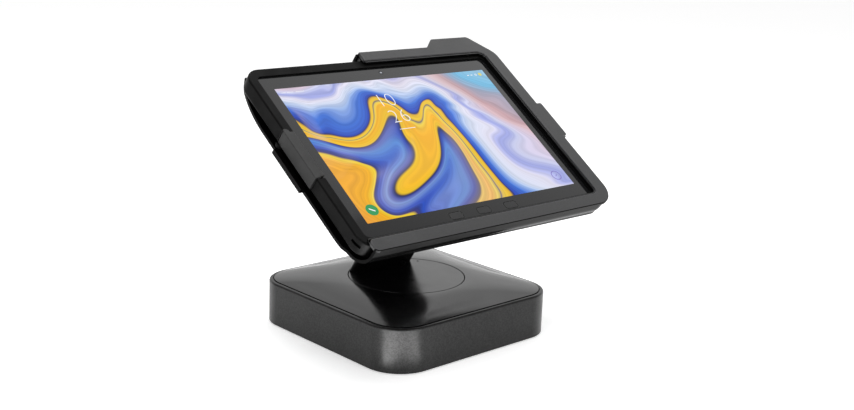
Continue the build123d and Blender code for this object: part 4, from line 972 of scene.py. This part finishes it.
@dataclass
class ScreenContents:
    """What the tablet shows: the marbled picture, a clock and plain signs."""

    finishes: Finishes
    picture: PictureFinish = field(default_factory=PictureFinish)
    # The picture's height over the glass, and the step from it to the signs and from sign to sign
    lift: float = 0.02
    sheet: float = 0.02
    clock: tuple[str, str] = ("10", "26")
    clock_places: tuple[tuple[float, float], ...] = ((-16.0, 44.5), (-13.5, 26.5))
    digit_height: float = 20.0
    # How much thinner the digits' strokes get on each side, as a share of the digits' height
    thinning: float = 0.028
    # How much of a bar's width the rounding of each corner takes
    rounding: float = 0.49
    signs: tuple[Dot | Bar, ...] = (
        Bar("date_line", (-14.5, 13.5), (16.0, 0.55), rise=1.0),
        Dot("talk_badge", (-97.5, -57.0), 5.2, Light.GREEN),
        Bar("talk_badge_mark", (-97.5, -57.0), (5.4, 1.1), turn=-35.0),
        Dot("round_badge", (97.0, -56.5), 5.0, Light.PALE, hole=4.1),
        Bar("round_badge_mark", (97.0, -56.5), (3.0, 0.8), Light.PALE, turn=40.0),
        Dot("status_dot", (102.5, 63.0), 1.8, Light.YELLOW),
        Dot("status_ring", (97.5, 63.0), 1.1, Light.WHITE, hole=0.6),
        Bar("status_bar_0", (92.5, 63.0), (2.2, 0.8)),
        Bar("status_bar_1", (88.5, 63.0), (2.2, 0.8)),
        Bar("notice_bar_0", (-103.0, 63.4), (4.0, 0.45)),
        Bar("notice_bar_1", (-97.0, 63.4), (6.0, 0.45)),
        Bar("notice_bar_2", (-88.0, 63.4), (8.0, 0.45)),
    )

    def at(self, place: tuple[float, float], rise: float) -> tuple[float, float, float]:
        """Work out where a sign lies.

        Args:
            place: Its middle, across and up, in mm.
            rise: How many sheets it lies above the picture.

        Returns:
            Its middle on the screen plane, in metres.
        """
        return (place[0] * MM, place[1] * MM, (self.lift + rise * self.sheet) * MM)

    def flat(self, piece: Object, name: str, finish: Finish | PictureFinish) -> Object:
        """Place a flat piece on the glass and dress it.

        Args:
            piece: The piece, modelled on the screen plane.
            name: Its name.
            finish: Its finish.

        Returns:
            The piece.
        """
        piece.name = name
        Bench.settle(piece, on_screen=True)
        return Bench.dress(piece, finish, "tablet", "display")

    def make_picture(self) -> Object:
        """Model the lit picture as a thin sheet with its own UV map, and return it."""
        Bench.clear()
        bpy.ops.mesh.primitive_grid_add(x_subdivisions=24, y_subdivisions=16, size=1, calc_uvs=True)
        piece = bpy.context.object
        piece.scale = (self.picture.width * MM, self.picture.height * MM, 1)
        piece.location = self.at((0, 0), 0)
        return self.flat(piece, "lit_picture", self.picture)

    def make_clock_row(self, row: int) -> Object:
        """Write one row of the clock in thin plain digits.

        Args:
            row: The row's number.

        Returns:
            The row.
        """
        Bench.clear()
        bpy.ops.object.text_add(location=self.at(self.clock_places[row], 1))
        piece = bpy.context.object
        piece.data.body = self.clock[row]
        piece.data.size = self.digit_height * MM
        piece.data.offset = -self.thinning * self.digit_height * MM
        piece.data.align_x = "CENTER"
        piece.data.align_y = "CENTER"
        return self.flat(piece, f"clock_row_{row}", self.finishes.white_light)

    def make_dot(self, dot: Dot) -> Object:
        """Model a round sign as a flat disc, and cut its hole by an inset.

        Args:
            dot: The sign.

        Returns:
            The piece.
        """
        Bench.clear()
        bpy.ops.mesh.primitive_circle_add(
            vertices=40, radius=dot.radius * MM, fill_type="NGON", location=self.at(dot.place, 1)
        )
        piece = bpy.context.object
        if dot.hole:
            Bench.edit(piece)
            bpy.ops.mesh.inset(thickness=(dot.radius - dot.hole) * MM)
            bpy.ops.mesh.delete(type="FACE")
            bpy.ops.object.mode_set(mode="OBJECT")
        return self.flat(piece, dot.name, getattr(self.finishes, dot.light.value))

    def make_bar(self, bar: Bar) -> Object:
        """Model a short bar as a flat plane with rounded ends.

        Args:
            bar: The sign.

        Returns:
            The piece.
        """
        Bench.clear()
        bpy.ops.mesh.primitive_plane_add(
            size=1, location=self.at(bar.place, bar.rise), rotation=(0, 0, math.radians(bar.turn))
        )
        piece = bpy.context.object
        piece.scale = (bar.size[0] * MM, bar.size[1] * MM, 1)
        bpy.ops.object.transform_apply(location=False, rotation=False, scale=True)
        Bench.edit(piece)
        bpy.ops.mesh.bevel(offset=min(bar.size) * self.rounding * MM, segments=4, affect="VERTICES")
        bpy.ops.object.mode_set(mode="OBJECT")
        return self.flat(piece, bar.name, getattr(self.finishes, bar.light.value))

    def build(self) -> list[Object]:
        """Build the picture, the clock and the signs, and return them."""
        pieces = [self.make_picture()]
        for row in range(len(self.clock)):
            pieces.append(self.make_clock_row(row))
        for sign in self.signs:
            pieces.append(self.make_dot(sign) if isinstance(sign, Dot) else self.make_bar(sign))
        return pieces


@dataclass
class SmallDetails:
    """Small round parts: the tablet's camera lens and ring, and the index pin on the swivel disc."""

    finishes: Finishes
    # The camera's middle on the screen plane, the radius of its barrel, how far inside that the ring's line
    # runs, the radius of the ring's section, and the radius of the lens
    camera_place: tuple[float, float] = (0.0, 75.35)
    camera_radius: float = 1.7
    ring_inset: float = 0.1
    ring_radius: float = 0.16
    lens_radius: float = 1.1
    # The pin's middle in the shared frame
    pin_place: tuple[float, float, float] = (34.0, 24.0, 41.95)
    pin_radius: float = 0.9
    # Height of a dome as a share of a ball's, and the angle up to which round parts are shaded smooth
    flatness: float = 0.25
    shade_angle: float = 60.0

    def dome(self, name: str, place: tuple[float, float, float], radius: float) -> Object:
        """Model a shallow dome, half of it sunk in what carries it.

        Args:
            name: The piece's name.
            place: Its middle in mm.
            radius: Its radius in mm.

        Returns:
            The dome, not yet in its place.
        """
        Bench.clear()
        bpy.ops.mesh.primitive_uv_sphere_add(
            segments=32, ring_count=16, radius=radius * MM, location=[c * MM for c in place]
        )
        piece = bpy.context.object
        Bench.edit(piece)
        bpy.ops.transform.resize(value=(1, 1, self.flatness))
        bpy.ops.object.mode_set(mode="OBJECT")
        Bench.smooth(piece, self.shade_angle)
        piece.name = name
        return piece

    def make_ring(self) -> Object:
        """Model the camera's ring as a thin torus, and return it where it belongs."""
        across, up = (c * MM for c in self.camera_place)
        Bench.clear()
        bpy.ops.mesh.primitive_torus_add(
            major_radius=(self.camera_radius - self.ring_inset) * MM,
            minor_radius=self.ring_radius * MM,
            major_segments=40,
            minor_segments=10,
            location=(across, up, 0),
        )
        ring = bpy.context.object
        ring.name = "camera_ring"
        Bench.smooth(ring, self.shade_angle)
        Bench.settle(ring, on_screen=True)
        return Bench.dress(ring, self.finishes.camera, "tablet", "camera_black")

    def build(self) -> list[Object]:
        """Build the lens and the pin as shallow domes, and the ring, and return them."""
        lens = self.dome("camera_lens", (*self.camera_place, 0.0), self.lens_radius)
        Bench.settle(lens, on_screen=True)
        # The lens's pale colour is a painted glint
        Bench.dress(lens, self.finishes.lens, "tablet", "camera_black")
        pin = self.dome("disc_index_pin", self.pin_place, self.pin_radius)
        Bench.settle(pin)
        Bench.dress(pin, self.finishes.mat_rubber, "swivel", "disc_black")
        return [lens, pin, self.make_ring()]


@dataclass(frozen=True)
class Lamp:
    """A soft lamp that faces the object: directions in degrees, distance and size in metres, watts."""

    name: str
    azimuth: float
    elevation: float
    distance: float
    size: tuple[float, float]
    power: float


@dataclass(frozen=True)
class TableStrip:
    """A low lamp that lies on the table and shines up: middle, size along x and y in metres, watts."""

    name: str
    place: tuple[float, float]
    size: tuple[float, float]
    power: float


@dataclass
class Studio:
    """The pale floor, the soft lights and the camera of the photograph."""

    # The fit to the photograph: lens and film width in mm, angles in degrees, and the shared frame's origin
    # as the camera sees it, in mm right, down and ahead; the camera then stands higher by the lift, and sees
    # what is farther than the near distance in metres
    lens: float = 51.45
    film: float = 36.0
    azimuth: float = -43.06
    elevation: float = 14.15
    roll: float = -2.14
    origin: tuple[float, float, float] = (-18.21, 96.7, 1001.6)
    lift: float = 0.8
    near: float = 0.01
    # Strength of the world before the object and behind it, and between which directions it changes
    room: float = 0.32
    backdrop: float = 1.0
    sweep: tuple[float, float] = (0.3, 0.62)
    # The floor's radius and depth in metres, its colour, and the light that lifts it to white in the picture
    floor_radius: float = 6.0
    floor_depth: float = 0.0002
    floor_tone: str = "F8F8F8"
    floor_lift: float = 0.5
    # The point that the lamps face, and the height of the strips over the floor, in metres
    aim: tuple[float, float, float] = (0, 0, 0.08)
    strip_height: float = 0.002
    lamps: tuple[Lamp, ...] = (
        Lamp("left_box", -71.0, 12.0, 1.3, (0.45, 0.6), 4.5),
        Lamp("right_box", 8.0, 12.0, 1.3, (0.45, 0.6), 4.5),
        Lamp("upper_right_box", 120.0, 49.0, 1.48, (1.0, 0.9), 1.05),
        Lamp("top_box", 0.0, 88.0, 1.6, (1.2, 1.2), 14.0),
    )
    strips: tuple[TableStrip, ...] = (
        TableStrip("left_table_strip", (-0.144, -0.110), (0.09, 0.075), 0.215),
        TableStrip("right_table_strip", (-0.076, -0.156), (0.055, 0.09), 0.117),
    )

    @staticmethod
    def direction(azimuth: float, elevation: float) -> Vector:
        """Point from the object to what stands round it.

        Args:
            azimuth: Direction round the object in radians, 0 in front and negative to the left.
            elevation: Height angle in radians.

        Returns:
            The direction, one unit long.
        """
        flat = math.cos(elevation)
        return Vector((math.sin(azimuth) * flat, -math.cos(azimuth) * flat, math.sin(elevation)))

    def camera(self) -> None:
        """Stand the camera where the fit to the photograph puts it."""
        azimuth, elevation, roll = (math.radians(a) for a in (self.azimuth, self.elevation, self.roll))
        ahead = -self.direction(azimuth, elevation)
        right = ahead.cross(Vector((0, 0, 1))).normalized()
        down = ahead.cross(right)
        right, down = (
            math.cos(roll) * right + math.sin(roll) * down,
            -math.sin(roll) * right + math.cos(roll) * down,
        )
        turn = Matrix((right, down, ahead))
        centre = -(turn.transposed() @ Vector(self.origin)) + Vector((0, 0, self.lift))
        bpy.ops.object.camera_add()
        camera = bpy.context.object
        camera.data.lens = self.lens
        camera.data.sensor_width = self.film
        camera.data.clip_start = self.near
        camera.matrix_world = Matrix.Translation(centre * MM) @ Matrix(
            (right, -down, -ahead)
        ).transposed().to_4x4()
        bpy.context.scene.camera = camera

    @staticmethod
    def background_rays(tree: NodeTree) -> NodeSocket:
        """Add the nodes that tell the rays that show the background: camera, glossy and transmission rays.

        Args:
            tree: The node tree.

        Returns:
            1 on those rays and 0 on the others.
        """
        path = put(tree, "LightPath").outputs
        direct = {0: path["Is Camera Ray"], 1: path["Is Glossy Ray"]}
        seen = put(tree, "Math", direct, operation="MAXIMUM").outputs[0]
        through = {0: seen, 1: path["Is Transmission Ray"]}
        return put(tree, "Math", through, operation="MAXIMUM").outputs[0]

    def floor(self) -> None:
        """Lay a wide pale floor that keeps the object's shadow."""
        Bench.clear()
        bpy.ops.mesh.primitive_circle_add(
            vertices=96, radius=self.floor_radius, fill_type="NGON", location=(0, 0, -self.floor_depth)
        )
        floor = bpy.context.object
        floor.name = "pale_floor"
        # Matt white paint: it shows a soft shadow and no reflection
        material, tree = fresh("pale_floor_paint")
        seen = self.background_rays(tree)
        lifted = put(tree, "Math", {0: seen, 1: self.floor_lift}, operation="MULTIPLY").outputs[0]
        paint = {
            "Base Color": linear(self.floor_tone),
            "Roughness": 0.9,
            "Emission Color": (1, 1, 1, 1),
            "Emission Strength": lifted,
        }
        shader = put(tree, "BsdfPrincipled", paint)
        put(tree, "OutputMaterial", {"Surface": shader.outputs[0]})
        floor.data.materials.append(material)

    def world(self) -> None:
        """Surround the scene with a white backdrop behind it and a dimmer room before it."""
        world = bpy.data.worlds.new("white_room")
        world.use_nodes = True
        tree = world.node_tree
        tree.nodes.clear()
        turn = math.radians(self.azimuth)
        ahead = (-math.sin(turn), math.cos(turn), 0)
        direction = put(tree, "TexCoord").outputs["Generated"]
        facing = put(tree, "VectorMath", {0: direction, 1: ahead}, operation="DOT_PRODUCT").outputs["Value"]
        start, end = self.sweep
        change = {
            "Value": facing,
            "From Min": start,
            "From Max": end,
            "To Min": self.room,
            "To Max": self.backdrop,
        }
        sweep = put(tree, "MapRange", change, interpolation_type="SMOOTHSTEP").outputs[0]
        path = put(tree, "LightPath").outputs["Is Camera Ray"]
        seen = put(tree, "Math", {0: sweep, 1: path}, operation="MAXIMUM").outputs[0]
        light = put(tree, "Background", {"Color": (1, 1, 1, 1), "Strength": seen})
        put(tree, "OutputWorld", {"Surface": light.outputs[0]})
        bpy.context.scene.world = world

    @staticmethod
    def shine(lamp: Object, source: Lamp | TableStrip) -> None:
        """Give a new area lamp its name, size and power.

        Args:
            lamp: The new lamp.
            source: What it is to be.
        """
        lamp.name = source.name
        lamp.data.shape = "RECTANGLE"
        lamp.data.size, lamp.data.size_y = source.size
        lamp.data.energy = source.power

    def stand(self, lamp: Lamp) -> None:
        """Stand a soft lamp so that it faces the object.

        Args:
            lamp: The lamp.
        """
        aim = Vector(self.aim)
        turn, rise = math.radians(lamp.azimuth), math.radians(lamp.elevation)
        place = lamp.distance * self.direction(turn, rise) + aim
        bpy.ops.object.light_add(type="AREA", location=place)
        light = bpy.context.object
        light.rotation_euler = (aim - place).to_track_quat("-Z", "Y").to_euler()
        self.shine(light, lamp)

    def lay(self, strip: TableStrip) -> None:
        """Lay a low lamp on the table, out of the camera's sight.

        Args:
            strip: The lamp.
        """
        place = (*strip.place, self.strip_height)
        bpy.ops.object.light_add(type="AREA", location=place, rotation=(math.pi, 0, 0))
        light = bpy.context.object
        light.visible_camera = False
        self.shine(light, strip)

    def build(self) -> None:
        """Build the studio."""
        bpy.context.scene.view_settings.view_transform = "Standard"
        self.camera()
        self.floor()
        self.world()
        for lamp in self.lamps:
            self.stand(lamp)
        for strip in self.strips:
            self.lay(strip)


def main() -> None:
    """Load the frame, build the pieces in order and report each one."""
    logging.basicConfig(level=logging.INFO, format="%(name)s: %(message)s")
    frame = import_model()
    finishes = Finishes()
    for assembly in (PackedPieces(frame, finishes), ScreenContents(finishes), SmallDetails(finishes)):
        for piece in assembly.build():
            LOG.info("%s: %s, %d faces", type(assembly).__name__, piece.name, len(piece.data.polygons))
    Studio().build()


if __name__ == "__main__":
    main()
